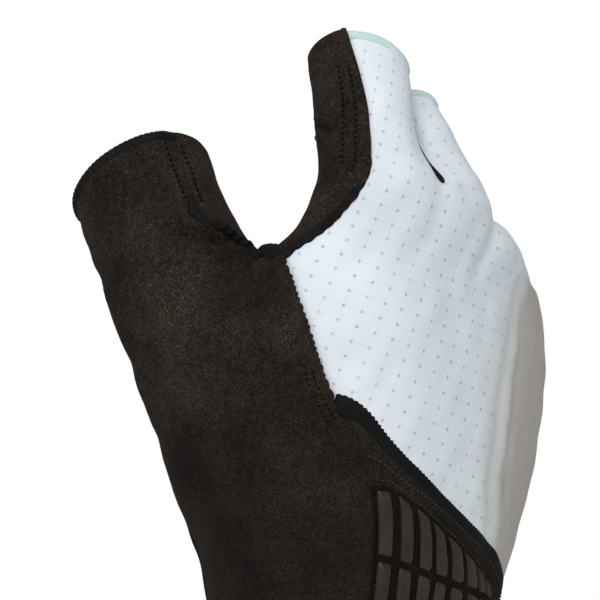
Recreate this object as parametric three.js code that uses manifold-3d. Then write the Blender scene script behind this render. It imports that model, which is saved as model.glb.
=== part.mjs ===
import * as THREE from "three";
import Module from "manifold-3d";
import { mergeVertices } from "three/addons/utils/BufferGeometryUtils.js";

// A right-hand fingerless cycling glove in the form that it has when worn, fingers up.
// Millimetres and degrees. The cuff's lower edge lies in z = 0 with the wrist's centre at the origin,
// the back of the hand faces -Y, the palm +Y and the thumb -X.

// Driving dimensions
const bodyHeight = 108; // cuff edge to the web between the index and middle fingers
const palmWidth = 84; // across the four knuckles
const palmDepth = 46; // back to palm at the heel of the hand
const fingerWidth = 20; // across the index finger's sleeve
const fingerDepth = 21; // back to front of the index finger's sleeve
const indexLength = 26.5; // web to opening
const middleLength = 23;
const ringLength = 28;
const littleLength = 25;
const thumbWidth = 31; // across the thumb's opening
const thumbDepth = 24;
const thumbReach = 30; // palm's plane to the middle of the thumb's opening
const thumbRise = 2; // the middle of the thumb's opening over the web between index and middle fingers
const thumbHeight = bodyHeight + thumbRise;
const fabricThickness = 1.2;
const suedeThickness = 1.4;
const seamGap = 0.3;
const ropeWidth = 2.2; // binding along the thumb crotch
const tipBindingHeight = 2; // pale bindings of the fingers
const thumbHemHeight = 2.4;
const wristBindingWidth = 3.2;
const bindingRise = 0.5; // bindings stand this far out from their panels, on both faces
const ribWidth = 3;
const ribGroove = 1.9;
const ribRise = 0.9;
const ribRowGap = 1.6; // between the upper and the lower ribs
const ribSplitHeight = 27; // middle of that gap over the cuff's edge
const ribMargin = 1.8; // left free round the ribs

// Sections of the hand by height. Heights are shares of bodyHeight, x and half width of palmWidth,
// the others of palmDepth. The thenar column is the swell at the root of the thumb.
const bodySections = [
  { z: 0.0, x: 0.0, y: 0.0, half: 0.39, back: 0.52, palm: 0.5, thenar: 0.0, fall: 0.0 },
  { z: 0.24, x: 0.01, y: -0.01, half: 0.44, back: 0.6, palm: 0.53, thenar: 0.0, fall: 0.03 },
  { z: 0.46, x: 0.015, y: -0.12, half: 0.49, back: 0.64, palm: 0.56, thenar: 0.29, fall: 0.02 },
  { z: 0.67, x: 0.0, y: -0.28, half: 0.51, back: 0.52, palm: 0.46, thenar: 0.45, fall: 0.06 },
  { z: 0.85, x: -0.01, y: -0.42, half: 0.5, back: 0.41, palm: 0.32, thenar: 0.2, fall: 0.22 },
  { z: 1.0, x: 0.0, y: -0.48, half: 0.49, back: 0.35, palm: 0.28, thenar: 0.0, fall: 0.3 },
];

// Rows of the pattern round the hand. The heights are shares of bodyHeight: on the back at the
// thumb side and at the little finger, on the palm at the little finger and at the thumb side, and
// at the thumb side's two middle columns. The angles place its four columns round the section, and
// the last column lifts the row's corner where the back meets the thumb's side.
const rowColumns = ["back0", "back4", "palm4", "palm0", "side", "near", "a", "n", "b", "c", "corner"];
const rowTable = {
  cuffEdge: [0, 0, 0, 0, 0, 0, 50, 22, -8, -42, 0],
  cuff: [0.12, 0.04, 0.06, 0.1, 0.11, 0.12, 52, 22, -8, -42, 0],
  strip: [0.44, 0.07, 0.14, 0.26, 0.35, 0.41, 52, 20, -12, -44, 0],
  wristSeam: [0.555, 0.1, 0.22, 0.36, 0.44, 0.54, 29, 6, -20, -48, 0.07],
  thumbRoot: [0.69, 0.36, 0.46, 0.46, 0.52, 0.62, 24, -4, -28, -56, 0],
  thumbMiddle: [0.78, 0.54, 0.56, 0.64, 0.7, 0.75, 11, -16, -42, -68, 0],
  thumbCrotch: [0.86, 0.68, 0.63, 0.82, 0.86, 0.882, -10, -46, -64, -82, 0],
  knuckles: [0.93, 0.78, 0.68, 0.9, 0.928, 0.934, 18, 0, -22, -52, 0],
};
const rows = Object.values(rowTable).map((values) =>
  Object.fromEntries(rowColumns.map((column, i) => [column, values[i]])),
);
const rowEase = 1.15; // the rows fall fastest at the thumb's side
const rowOf = (name) => Object.keys(rowTable).indexOf(name);
const rootRow = rowOf("thumbRoot");
const crotchRow = rowOf("thumbCrotch");

// The five places between and beside the fingers where their sleeves begin, from the index finger
// to the little finger: back, then palm. x is a share of palmWidth, y of palmDepth, z of bodyHeight.
const webs = [
  { x: -0.46, y: -0.69, z: 0.99, px: -0.44, py: -0.31, pz: 0.96 },
  { x: -0.225, y: -0.87, z: 1.0, px: -0.215, py: -0.37, pz: 0.96 },
  { x: 0.01, y: -0.86, z: 0.93, px: 0.01, py: -0.3, pz: 0.85 },
  { x: 0.235, y: -0.72, z: 0.82, px: 0.235, py: -0.19, pz: 0.72 },
  { x: 0.43, y: -0.48, z: 0.71, px: 0.42, py: -0.07, pz: 0.61 },
];
const webSide = 0.05; // how far the outer sides of the index and little fingers swell
const webDip = 0.03; // how far the middle of a web lies under its two ends
const knuckleSwell = 0.07; // rise of each finger's back and front over its two webs

// Fingers: width and depth as shares of the index finger's, bends in degrees toward the palm and
// splay toward the little finger's side, and how far the opening is cut back away from its high side.
const fingers = [
  { name: "index", length: indexLength, width: 1.0, depth: 1.0, bend: 7, curl: 4, splay: 9, slant: 0.28 },
  { name: "middle", length: middleLength, width: 0.96, depth: 1.0, bend: 28, curl: 5, splay: 5, slant: 0.1 },
  { name: "ring", length: ringLength, width: 0.9, depth: 0.94, bend: 47, curl: 6, splay: 1, slant: 0.1 },
  { name: "little", length: littleLength, width: 0.77, depth: 0.84, bend: 54, curl: 6, splay: 2, slant: 0.1 },
];
const fingerRings = [0.33, 0.68, 1.0]; // places along a finger, as shares of its length
const seamTurns = [4, 12, 3]; // how far the index finger's seam turns round onto its back at each
const highSide = 200; // direction of an opening's high side round the finger, from the little finger's side

// Rings along the thumb. x is a share of palmWidth, y of thumbReach, z of thumbHeight, and the
// width and depth are shares of the opening's.
const thumbRings = [
  { x: -0.436, y: 0.31, z: 0.7, width: 1.12, depth: 1.12 },
  { x: -0.445, y: 0.54, z: 0.8, width: 1.0, depth: 1.04 },
  { x: -0.435, y: 0.8, z: 0.9, width: 0.97, depth: 1.0 },
  { x: -0.418, y: 0.95, z: 0.982, width: 0.98, depth: 1.0 },
];
const thumbInnerTurn = -60; // direction that the thumb's inner side faces, from +X
const thumbHighSide = -68; // direction of its high side round the thumb, from its inner side
const thumbSlant = 0.16; // how far the opening's high side stands over its middle, as a share of its width

const backColumns = 2 * fingers.length + 1; // the fingers' edges and middles
const columns = 2 * backColumns + 3;
const innerColumns = [2 * backColumns, 2 * backColumns + 1]; // on the thumb's side, where its sleeve joins
const evenTurns = [225, 270, 315, 0, 45, 90, 135, 180];
const indexTurns = [203, 259, 315, 0, 45, 90, 135, 158, 180];
const thumbTurns = [135, 180, 225, 265, 303, 0, 45, 90];
const ringSides = evenTurns.length;
const ringSwell = 1 / ((2 + Math.cos((2 * Math.PI) / ringSides)) / 3); // a ring of eight shrinks when smoothed
const bodySwell = 1.016; // and a ring of twenty

const radians = THREE.MathUtils.degToRad;
const vector = (x, y, z) => new THREE.Vector3(x, y, z);

// A row's values between two named rows of a table, at a height
function between(table, z) {
  const last = table.length - 1;
  let i = 0;
  while (i < last - 1 && table[i + 1].z < z) i += 1;
  const [low, high] = [table[i], table[i + 1]];
  const share = THREE.MathUtils.clamp((z - low.z) / (high.z - low.z), 0, 1.2);
  const made = {};
  for (const key of Object.keys(low)) made[key] = THREE.MathUtils.lerp(low[key], high[key], share);
  return made;
}

// A point on the hand at an angle round its section: 0 at the thumb's side, 90 on the back,
// 180 at the little finger's side, -90 on the palm. The height is a share of bodyHeight.
const cornerPower = 0.83; // under 1 fills the section's corners out
const thenarAngle = -42;
function bodyPoint(angle, z, swelled = bodySwell) {
  const s = between(bodySections, z);
  const [c, d] = [Math.cos(radians(angle)), Math.sin(radians(angle))];
  const across = -Math.sign(c) * Math.abs(c) ** cornerPower * s.half * palmWidth * swelled;
  const depth = (d > 0 ? s.back : s.palm) * palmDepth * swelled;
  const fall = s.fall * palmDepth * ((1 + across / s.half / palmWidth) / 2) ** 2;
  const back = -Math.sign(d) * Math.abs(d) ** cornerPower * depth + fall;
  const swell = Math.max(0, Math.cos(radians(angle - thenarAngle))) ** 2 * s.thenar * palmDepth;
  return vector(
    s.x * palmWidth + across + swell * -Math.cos(radians(thenarAngle + 360)) * 0.77,
    s.y * palmDepth + back + swell * 0.82,
    z * bodyHeight,
  );
}

// The cage: points, and faces of four corners that know their panel and their place on its pattern
const cage = { points: [], faces: [] };
const addPoint = (p) => cage.points.push(p) - 1;
function addFace(panel, patch, corners, u, v) {
  const uv = [
    [u, v],
    [u + 1, v],
    [u + 1, v + 1],
    [u, v + 1],
  ];
  cage.faces.push({ corners, panel, patch, uv });
}

// A row's height on the back, at a share of the way from the thumb's side to the little finger's
const littleAngle = 145;
function rowHeight(row, share) {
  return row.back4 + (row.back0 - row.back4) * (1 - share) ** rowEase;
}

// Round the hand: nine columns on the back, the little finger's side, nine on the palm, and two
// on the thumb's side
function bodyRow(row) {
  const ring = [];
  const lastBack = backColumns - 1;
  for (let i = 0; i < backColumns; i += 1) {
    const share = i / lastBack;
    const angle = THREE.MathUtils.lerp(row.a, littleAngle, share);
    const lift = i === 0 ? row.corner : 0;
    ring.push(addPoint(bodyPoint(angle, rowHeight(row, share) + lift)));
  }
  ring.push(addPoint(bodyPoint(182, (row.back4 + row.palm4) / 2)));
  for (let i = 0; i < backColumns; i += 1) {
    const share = i / lastBack;
    const angle = THREE.MathUtils.lerp(-littleAngle, row.c, share);
    ring.push(addPoint(bodyPoint(angle, THREE.MathUtils.lerp(row.palm4, row.palm0, share))));
  }
  ring.push(addPoint(bodyPoint(row.b, row.side)));
  ring.push(addPoint(bodyPoint(row.n, row.near)));
  return ring;
}

function webRow() {
  const at = (w) => vector(w.x * palmWidth, w.y * palmDepth, w.z * bodyHeight);
  const palmAt = (w) => vector(w.px * palmWidth, w.py * palmDepth, w.pz * bodyHeight);
  const back = webs.map(at);
  const palm = webs.map(palmAt);
  const ring = [];
  const push = (p) => ring.push(addPoint(p));
  const middle = (a, b, rise) => a.clone().add(b).multiplyScalar(0.5).add(vector(0, rise, 0));
  const lift = knuckleSwell * palmDepth;
  const out = webSide * palmWidth;
  for (let i = 0; i < 5; i += 1) {
    push(back[i]);
    if (i < 4) push(middle(back[i], back[i + 1], -lift));
  }
  push(middle(back[4], palm[4], 0).add(vector(out, 0, 0)));
  for (let i = 4; i >= 0; i -= 1) {
    push(palm[i]);
    if (i > 0) push(middle(palm[i], palm[i - 1], lift));
  }
  for (const share of [1 / 3, 2 / 3])
    push(palm[0].clone().lerp(back[0], share).add(vector(-out * 0.8, 0, 0)));
  const dip = vector(0, 0, -webDip * bodyHeight);
  const crotches = [1, 2, 3].map((i) => addPoint(middle(back[i], palm[i], 0).add(dip)));
  return { ring, crotches };
}

// A ring of eight points round a centre, square to an axis and counted from a first direction
function ringPoints(centre, axis, first, width, depth, slant, slantTurn, turns) {
  const along = axis.clone().normalize();
  const x = first.clone().addScaledVector(along, -first.dot(along)).normalize();
  const y = along.clone().cross(x);
  return turns.map((degrees) => {
    const turn = radians(degrees);
    const p = centre.clone();
    p.addScaledVector(x, (width / 2) * ringSwell * Math.cos(turn));
    p.addScaledVector(y, (depth / 2) * ringSwell * Math.sin(turn));
    p.addScaledVector(along, slant * Math.cos(turn - radians(slantTurn)));
    return addPoint(p);
  });
}

function buildCage() {
  const rings = rows.map(bodyRow);
  const { ring: webRing, crotches } = webRow();
  rings.push(webRing);
  const top = rings.length - 1;
  for (let r = 0; r < top; r += 1)
    for (let c = 0; c < columns; c += 1) {
      const next = (c + 1) % columns;
      const inHole = innerColumns.includes(c);
      if (inHole && r >= rootRow && r < crotchRow) continue;
      const corners = [rings[r][c], rings[r][next], rings[r + 1][next], rings[r + 1][c]];
      addFace(bodyPanel(c, r), "hand", corners, c, r);
    }
  const centreOf = (ids) => {
    const sum = vector(0, 0, 0);
    ids.forEach((id) => sum.add(cage.points[id]));
    return sum.divideScalar(ids.length);
  };
  fingers.forEach((finger, f) => {
    const back = [2 * f, 2 * f + 1, 2 * f + 2].map((i) => webRing[i]);
    const lastFront = 2 * backColumns - 2 * f;
    const front = [lastFront - 2, lastFront - 1, lastFront].map((i) => webRing[i]);
    const near = f === 0 ? webRing.slice(lastFront + 1) : [crotches[f - 1]];
    const far = f === fingers.length - 1 ? webRing[backColumns] : crotches[f];
    let lower = [...back, far, ...front, ...near];
    const centre = centreOf(lower);
    let reached = 0;
    fingerRings.forEach((share, j) => {
      const bend = radians(finger.bend + finger.curl * j);
      const axis = vector(Math.sin(radians(finger.splay)), Math.sin(bend), Math.cos(bend)).normalize();
      centre.addScaledVector(axis, (share - reached) * finger.length);
      reached = share;
      const slant = j === fingerRings.length - 1 ? finger.slant * fingerWidth : 0;
      const width = finger.width * fingerWidth;
      const depth = finger.depth * fingerDepth;
      const turns = f === 0 ? [indexTurns[0] + seamTurns[j], ...indexTurns.slice(1)] : evenTurns;
      const ring = ringPoints(centre, axis, vector(1, 0, 0), width, depth, slant, highSide, turns);
      for (let i = 0; i < ring.length; i += 1) {
        const next = (i + 1) % ring.length;
        const corners = [lower[i], lower[next], ring[next], ring[i]];
        addFace(fingerPanel(f, i), finger.name, corners, i, top + j);
      }
      lower = ring;
    });
  });
  const [r, m, c] = [rings[rootRow], rings[rootRow + 1], rings[crotchRow]];
  const hole = [...innerColumns, columns - 1];
  const [left, over, right] = hole;
  let lower = [r[left], r[over], r[right], m[right], c[right], c[over], c[left], m[left]];
  const centres = thumbRings.map((t) =>
    vector(t.x * palmWidth, t.y * thumbReach, t.z * thumbHeight),
  );
  const inner = vector(Math.cos(radians(thumbInnerTurn)), Math.sin(radians(thumbInnerTurn)), 0);
  thumbRings.forEach((t, j) => {
    const [from, to] = [centres[Math.max(0, j - 1)], centres[Math.min(centres.length - 1, j + 1)]];
    const axis = to.clone().sub(from);
    const slant = j === centres.length - 1 ? thumbSlant * thumbWidth : 0;
    const [width, depth] = [t.width * thumbWidth, t.depth * thumbDepth];
    const ring = ringPoints(centres[j], axis, inner, width, depth, slant, thumbHighSide, thumbTurns);
    for (let i = 0; i < ringSides; i += 1) {
      const next = (i + 1) % ringSides;
      const corners = [lower[i], lower[next], ring[next], ring[i]];
      addFace(i === 4 || i === 5 ? "thumb_inner_panel" : "thumb_panel", "thumb", corners, i, j);
    }
    lower = ring;
  });
}

function bodyPanel(c, r) {
  const onSide = c >= 2 * backColumns;
  const onBack = c <= backColumns;
  if (r < rowOf("cuff")) return "cuff_band";
  if (onSide) return r < crotchRow ? "thumb_panel" : "index_side_panel";
  if (onBack && r < rowOf("strip")) return "rib_panel";
  if (onBack && r < rowOf("wristSeam")) return "wrist_strip";
  return onBack ? "back_panel" : "palm_panel";
}

const gussets = ["index_middle_gusset", "middle_ring_gusset", "ring_little_gusset"];
function fingerPanel(f, side) {
  if (side < 2) return "back_panel";
  if (side < 4) return gussets[f] ?? "back_panel";
  if (side < 6) return "palm_panel";
  return f === 0 ? "index_side_panel" : gussets[f - 1];
}

buildCage();

// One round of Catmull-Clark smoothing, which splits each face into four
function refine({ points, faces }) {
  const made = [];
  const edges = new Map();
  const keyOf = (a, b) => (a < b ? a + "," + b : b + "," + a);
  const facePoints = faces.map(({ corners }) => {
    const p = vector(0, 0, 0);
    corners.forEach((i) => p.addScaledVector(points[i], 0.25));
    return p;
  });
  const around = points.map(() => ({ faces: [], edges: new Set() }));
  faces.forEach(({ corners }, f) =>
    corners.forEach((a, i) => {
      const key = keyOf(a, corners[(i + 1) % 4]);
      if (!edges.has(key)) edges.set(key, { ends: [a, corners[(i + 1) % 4]], faces: [] });
      edges.get(key).faces.push(f);
      around[a].faces.push(f);
      around[a].edges.add(key);
      around[corners[(i + 1) % 4]].edges.add(key);
    }),
  );
  points.forEach((p, i) => {
    const open = [...around[i].edges].filter((key) => edges.get(key).faces.length === 1);
    const out = vector(0, 0, 0);
    if (open.length) {
      out.addScaledVector(p, 0.75);
      open.forEach((key) => {
        const [a, b] = edges.get(key).ends;
        out.addScaledVector(points[a === i ? b : a], 0.125);
      });
    } else {
      const n = around[i].faces.length;
      around[i].faces.forEach((f) => out.addScaledVector(facePoints[f], 1 / n / n));
      around[i].edges.forEach((key) => {
        const [a, b] = edges.get(key).ends;
        out.addScaledVector(points[a], 1 / n / n).addScaledVector(points[b], 1 / n / n);
      });
      out.addScaledVector(p, (n - 3) / n);
    }
    made.push(out);
  });
  const edgeIndex = new Map();
  edges.forEach((edge, key) => {
    const [a, b] = edge.ends;
    const out = points[a].clone().add(points[b]);
    if (edge.faces.length === 2) {
      edge.faces.forEach((f) => out.add(facePoints[f]));
      out.multiplyScalar(0.25);
    } else out.multiplyScalar(0.5);
    edgeIndex.set(key, made.push(out) - 1);
  });
  const split = [];
  faces.forEach((face, f) => {
    const centre = made.push(facePoints[f]) - 1;
    const mid = face.corners.map((a, i) => edgeIndex.get(keyOf(a, face.corners[(i + 1) % 4])));
    const uvMid = face.uv.map((p, i) => {
      const q = face.uv[(i + 1) % 4];
      return [(p[0] + q[0]) / 2, (p[1] + q[1]) / 2];
    });
    const uvCentre = [(uvMid[0][0] + uvMid[2][0]) / 2, (uvMid[0][1] + uvMid[2][1]) / 2];
    for (let i = 0; i < 4; i += 1) {
      const before = (i + 3) % 4;
      split.push({
        ...face,
        corners: [face.corners[i], mid[i], centre, mid[before]],
        uv: [face.uv[i], uvMid[i], uvCentre, uvMid[before]],
      });
    }
  });
  return { points: made, faces: split };
}

// The points moved onto the smooth surface that further rounds would reach
function settle({ points, faces }) {
  const sums = points.map(() => ({ n: 0, edges: vector(0, 0, 0), across: vector(0, 0, 0) }));
  const border = new Map();
  const count = new Map();
  faces.forEach(({ corners }) =>
    corners.forEach((a, i) => {
      const [b, c, d] = [1, 2, 3].map((k) => corners[(i + k) % 4]);
      sums[a].n += 1;
      sums[a].edges.addScaledVector(points[b], 0.5).addScaledVector(points[d], 0.5);
      sums[a].across.add(points[c]);
      const key = a < b ? a + "," + b : b + "," + a;
      count.set(key, (count.get(key) ?? 0) + 1);
    }),
  );
  count.forEach((n, key) => {
    if (n > 1) return;
    const [a, b] = key.split(",").map(Number);
    border.set(a, [...(border.get(a) ?? []), b]);
    border.set(b, [...(border.get(b) ?? []), a]);
  });
  const moved = points.map((p, i) => {
    const next = border.get(i);
    if (next) {
      const out = p.clone().multiplyScalar(4);
      next.forEach((k) => out.add(points[k]));
      return out.divideScalar(4 + next.length);
    }
    const { n, edges, across } = sums[i];
    const out = p.clone().multiplyScalar(n * n);
    out.addScaledVector(edges, 4).add(across);
    return out.divideScalar(n * (n + 5));
  });
  return { points: moved, faces };
}

const surface = settle(refine(cage));

// Outward directions at the surface's points, from the faces round each
function normalsOf({ points, faces }) {
  const normals = points.map(() => vector(0, 0, 0));
  faces.forEach(({ corners: [a, b, c, d] }) => {
    const one = points[c].clone().sub(points[a]);
    const n = one.cross(points[d].clone().sub(points[b])).normalize();
    [a, b, c, d].forEach((i) => normals[i].add(n));
  });
  return normals.map((n) => n.normalize());
}
const normals = normalsOf(surface);

// The surface's points by their patch and their place on it
const places = new Map();
surface.faces.forEach(({ patch, corners, uv }) =>
  corners.forEach((id, i) => places.set(patch + uv[i].join(), id)),
);
const [[firstU], [nextU]] = surface.faces[0].uv;
const step = nextU - firstU; // one face of the refined surface, in rows and columns of the cage
function line(patch, u0, v0, u1, v1) {
  const steps = Math.round(Math.max(Math.abs(u1 - u0), Math.abs(v1 - v0)) / step);
  const at = (i) => [u0 + i * step * Math.sign(u1 - u0), v0 + i * step * Math.sign(v1 - v0)].join();
  return Array.from({ length: steps + 1 }, (_, i) => places.get(patch + at(i)));
}
const edgeKey = (a, b) => (a < b ? a + "," + b : b + "," + a);

const topRow = rows.length;
const tipRow = topRow + fingerRings.length;
const crotchPath = [
  ...line("hand", innerColumns[0] + step, crotchRow, columns, crotchRow),
  ...line("hand", 0, crotchRow, 0, topRow).slice(1),
];
const wristRow = rowOf("wristSeam");
const wristPath = line("hand", 0, wristRow, backColumns + 1, wristRow);
const thumbTip = line("thumb", 0, thumbRings.length, ringSides, thumbRings.length);
const thumbPath = [...thumbTip.slice(12, 16), ...thumbTip.slice(0, 9)];

// What each panel leaves free along a seam or an edge: half the seam's gap, or a binding's room
const rooms = new Map();
function leaveRoom(path, room) {
  path.slice(1).forEach((b, i) => rooms.set(edgeKey(path[i], b), room));
}
leaveRoom(crotchPath, ropeWidth / 2 + 2 * seamGap);
leaveRoom(wristPath, wristBindingWidth / 2 + seamGap);
leaveRoom(thumbPath, thumbHemHeight + seamGap);
const tipPaths = fingers.map(({ name }, f) => line(name, 0, tipRow, f === 3 ? 4 : 2, tipRow));
tipPaths.forEach((path) => leaveRoom(path, tipBindingHeight + seamGap));

const edgePanels = new Map();
surface.faces.forEach(({ panel, corners }) =>
  corners.forEach((a, i) => {
    const key = edgeKey(a, corners[(i + 1) % 4]);
    edgePanels.set(key, [...(edgePanels.get(key) ?? []), panel]);
  }),
);

// The shift that moves a panel's corner by one amount along each of its two edges' directions
function mitre(pushes) {
  const [one, two] = [pushes[0], pushes[pushes.length - 1]];
  const cosine = one.direction.dot(two.direction);
  if (cosine > 0.9 || cosine < -0.9) {
    const amount = (one.amount + two.amount) / 2;
    return one.direction.clone().add(two.direction).setLength(amount);
  }
  const square = 1 - cosine * cosine;
  return one.direction
    .clone()
    .multiplyScalar((one.amount - cosine * two.amount) / square)
    .addScaledVector(two.direction, (two.amount - cosine * one.amount) / square);
}

function geometryOf(points, triangles) {
  const geometry = new THREE.BufferGeometry();
  const numbers = points.flatMap((p) => p.toArray());
  geometry.setAttribute("position", new THREE.Float32BufferAttribute(numbers, 3));
  geometry.setIndex(triangles);
  geometry.computeVertexNormals();
  return geometry;
}

// Two triangles across a quad, cut along its shorter diagonal
function pushQuad(triangles, points, [a, b, c, d]) {
  if (points[a].distanceTo(points[c]) < points[b].distanceTo(points[d]))
    triangles.push(a, b, c, a, c, d);
  else triangles.push(a, b, d, b, c, d);
}

// A closed wall from a panel's faces: the outer skin, the inner skin a thickness under it, and
// the edges between. Along its seams the panel stands back to leave the seam's room.
function panelGeometry(panel, thickness) {
  const faces = surface.faces.filter((face) => face.panel === panel);
  const border = [];
  faces.forEach(({ corners }) =>
    corners.forEach((a, i) => {
      const b = corners[(i + 1) % 4];
      const panels = edgePanels.get(edgeKey(a, b));
      const open = panels.length === 1;
      if (!open && panels[0] === panels[1]) return;
      border.push({ a, b, room: rooms.get(edgeKey(a, b)) ?? (open ? 0 : seamGap / 2) });
    }),
  );
  const pushes = new Map();
  border.forEach(({ a, b, room }) => {
    const edge = surface.points[b].clone().sub(surface.points[a]).normalize();
    [a, b].forEach((i) => {
      const direction = normals[i].clone().cross(edge).normalize();
      pushes.set(i, [...(pushes.get(i) ?? []), { direction, amount: room }]);
    });
  });
  const index = new Map();
  const outer = [];
  const idOf = (i) => {
    if (!index.has(i)) {
      const p = surface.points[i].clone();
      if (pushes.has(i)) p.add(mitre(pushes.get(i)));
      index.set(i, outer.push(p) - 1);
    }
    return index.get(i);
  };
  const quads = faces.map(({ corners }) => corners.map(idOf));
  const ids = [...index.keys()];
  const inner = outer.map((p, i) => p.clone().addScaledVector(normals[ids[i]], -thickness));
  const points = [...outer, ...inner];
  const under = outer.length;
  const triangles = [];
  quads.forEach(([a, b, c, d]) => {
    pushQuad(triangles, points, [a, b, c, d]);
    pushQuad(triangles, points, [under + a, under + d, under + c, under + b]);
  });
  border.forEach(({ a, b }) => {
    const [p, q] = [idOf(a), idOf(b)];
    pushQuad(triangles, points, [q, p, under + p, under + q]);
  });
  return geometryOf(points, triangles);
}

// A band swept along a path of surface points. The profile is counted round the band, across the
// path to its left and out along the surface's normal. The ends stop short by a trim.
function bandGeometry(path, profile, startTrim, endTrim = startTrim) {
  const centres = path.map((i) => surface.points[i].clone());
  const last = centres.length - 1;
  const pull = (i, j, trim) => {
    const toward = centres[j].clone().sub(centres[i]);
    centres[i].addScaledVector(toward.normalize(), trim);
  };
  pull(0, 1, startTrim);
  pull(last, last - 1, endTrim);
  const points = [];
  path.forEach((id, i) => {
    const along = centres[Math.min(i + 1, last)].clone().sub(centres[Math.max(i - 1, 0)]);
    const out = normals[id];
    const left = out.clone().cross(along).normalize();
    profile.forEach(([x, y]) =>
      points.push(centres[i].clone().addScaledVector(left, x).addScaledVector(out, y)),
    );
  });
  const n = profile.length;
  const triangles = [];
  for (let i = 0; i < last; i += 1)
    for (let k = 0; k < n; k += 1) {
      const next = (k + 1) % n;
      const corners = [i * n + k, i * n + next, (i + 1) * n + next, (i + 1) * n + k];
      pushQuad(triangles, points, corners);
    }
  for (let k = 1; k < n - 1; k += 1) {
    triangles.push(0, k + 1, k);
    triangles.push(last * n, last * n + k, last * n + k + 1);
  }
  return geometryOf(points, triangles);
}

// Profiles of the bands: a round rope, and a flat strip with its corners cut
function roundProfile(width, sink) {
  const sides = 8;
  return Array.from({ length: sides }, (_, k) => {
    const turn = (2 * Math.PI * k) / sides;
    return [(width / 2) * Math.cos(turn), (width / 2) * Math.sin(turn) - sink];
  });
}
function flatProfile(from, to, top, foot) {
  const cut = (to - from) / 4;
  return [
    [to, foot],
    [to, top - bindingRise],
    [to - cut, top],
    [from + cut, top],
    [from, top - bindingRise],
    [from, foot],
  ];
}

// Raised ribs on the back of the wrist: an upper row that ends along the strip's slanted edge, and
// a lower row down to the cuff band
const ribShares = [0, 1 / 3, 2 / 3, 1]; // places up a rib
const ribSink = 0.7;
const ribBevel = 0.4;

// The surface at a place on the hand's pattern, between the points of its grid
function skinAt(u, v) {
  const [u0, v0] = [u, v].map((x) => Math.floor(x / step) * step);
  const [s, t] = [(u - u0) / step, (v - v0) / step];
  const mix = (list) => {
    const at = (i, j) => list[places.get("hand" + [u0 + i * step, v0 + j * step].join())];
    const low = at(0, 0).clone().lerp(at(1, 0), s);
    return low.lerp(at(0, 1).clone().lerp(at(1, 1), s), t);
  };
  return { point: mix(surface.points), out: mix(normals).normalize() };
}

// The place between the rib panel's two rows where a column reaches a height
const ribRows = { foot: rowOf("cuff"), top: rowOf("strip") };
function ribRowAt(u, height) {
  let [low, high] = [ribRows.foot, ribRows.top];
  for (let i = 0; i < 20; i += 1) {
    const middle = (low + high) / 2;
    if (skinAt(u, middle).point.z < height) low = middle;
    else high = middle;
  }
  return low;
}

// Left and right edges of the ribs at equal steps of length round the wrist
function ribColumns() {
  const found = [];
  const slice = 0.02;
  const pointAt = (u) => skinAt(u, ribRowAt(u, ribSplitHeight)).point;
  let walked = 0;
  let due = ribMargin;
  for (let u = 0; u < backColumns; u += slice) {
    if (walked >= due) {
      found.push(u);
      due += found.length % 2 ? ribWidth : ribGroove;
    }
    walked += pointAt(u + slice).distanceTo(pointAt(u));
  }
  return found;
}

function ribGeometry(left, right, footOf, topOf) {
  const points = [];
  const ribSteps = ribShares.length - 1;
  for (const share of ribShares) {
    const turn = (ribBevel / ribWidth) * (right - left);
    const corner = (u, lift) => {
      const height = THREE.MathUtils.lerp(footOf(u), topOf(u), share);
      const { point, out } = skinAt(u, ribRowAt(u, height));
      points.push(point.addScaledVector(out, lift));
    };
    corner(right, -ribSink);
    corner(left, -ribSink);
    corner(left + turn, ribRise);
    corner(right - turn, ribRise);
  }
  const triangles = [];
  for (let i = 0; i < ribSteps; i += 1)
    for (let k = 0; k < 4; k += 1) {
      const next = (k + 1) % 4;
      pushQuad(triangles, points, [i * 4 + k, i * 4 + next, i * 4 + 4 + next, i * 4 + 4 + k]);
    }
  const end = ribSteps * 4;
  triangles.push(0, 2, 1, 0, 3, 2, end, end + 1, end + 2, end, end + 2, end + 3);
  return geometryOf(points, triangles);
}

const wasm = await Module();
wasm.setup();

function solidOf(geometry) {
  const bare = new THREE.BufferGeometry();
  bare.setAttribute("position", geometry.getAttribute("position"));
  bare.setIndex(geometry.index);
  const merged = mergeVertices(bare, 1e-4);
  const triVerts = new Uint32Array(merged.index.array);
  const vertProperties = new Float32Array(merged.getAttribute("position").array);
  return new wasm.Manifold(new wasm.Mesh({ numProp: 3, vertProperties, triVerts }));
}

function ribPanelGeometry() {
  let solid = solidOf(panelGeometry("rib_panel", suedeThickness));
  const edges = ribColumns();
  const shortest = 2 * ribBevel + ribWidth / 2;
  const split = { above: ribSplitHeight + ribRowGap / 2, below: ribSplitHeight - ribRowGap / 2 };
  for (let i = 0; i + 1 < edges.length; i += 2) {
    const [left, right] = [edges[i], edges[i + 1]];
    const top = (u) => skinAt(u, ribRows.top).point.z - ribMargin;
    const foot = (u) => skinAt(u, ribRows.foot).point.z + ribMargin;
    if (top(right) - split.above > shortest)
      solid = solid.add(solidOf(ribGeometry(left, right, () => split.above, top)));
    const lowerTop = (u) => Math.min(split.below, top(u));
    if (lowerTop(right) - foot(right) > shortest)
      solid = solid.add(solidOf(ribGeometry(left, right, foot, lowerTop)));
  }
  const mesh = solid.getMesh();
  const geometry = new THREE.BufferGeometry();
  geometry.setAttribute("position", new THREE.Float32BufferAttribute(mesh.vertProperties, 3));
  geometry.setIndex([...mesh.triVerts]);
  geometry.computeVertexNormals();
  return geometry;
}

const group = new THREE.Group();
function addMesh(name, geometry, color, roughness) {
  const material = new THREE.MeshStandardMaterial({ color, roughness, metalness: 0 });
  const mesh = new THREE.Mesh(geometry, material);
  mesh.name = name;
  group.add(mesh);
}

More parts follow.
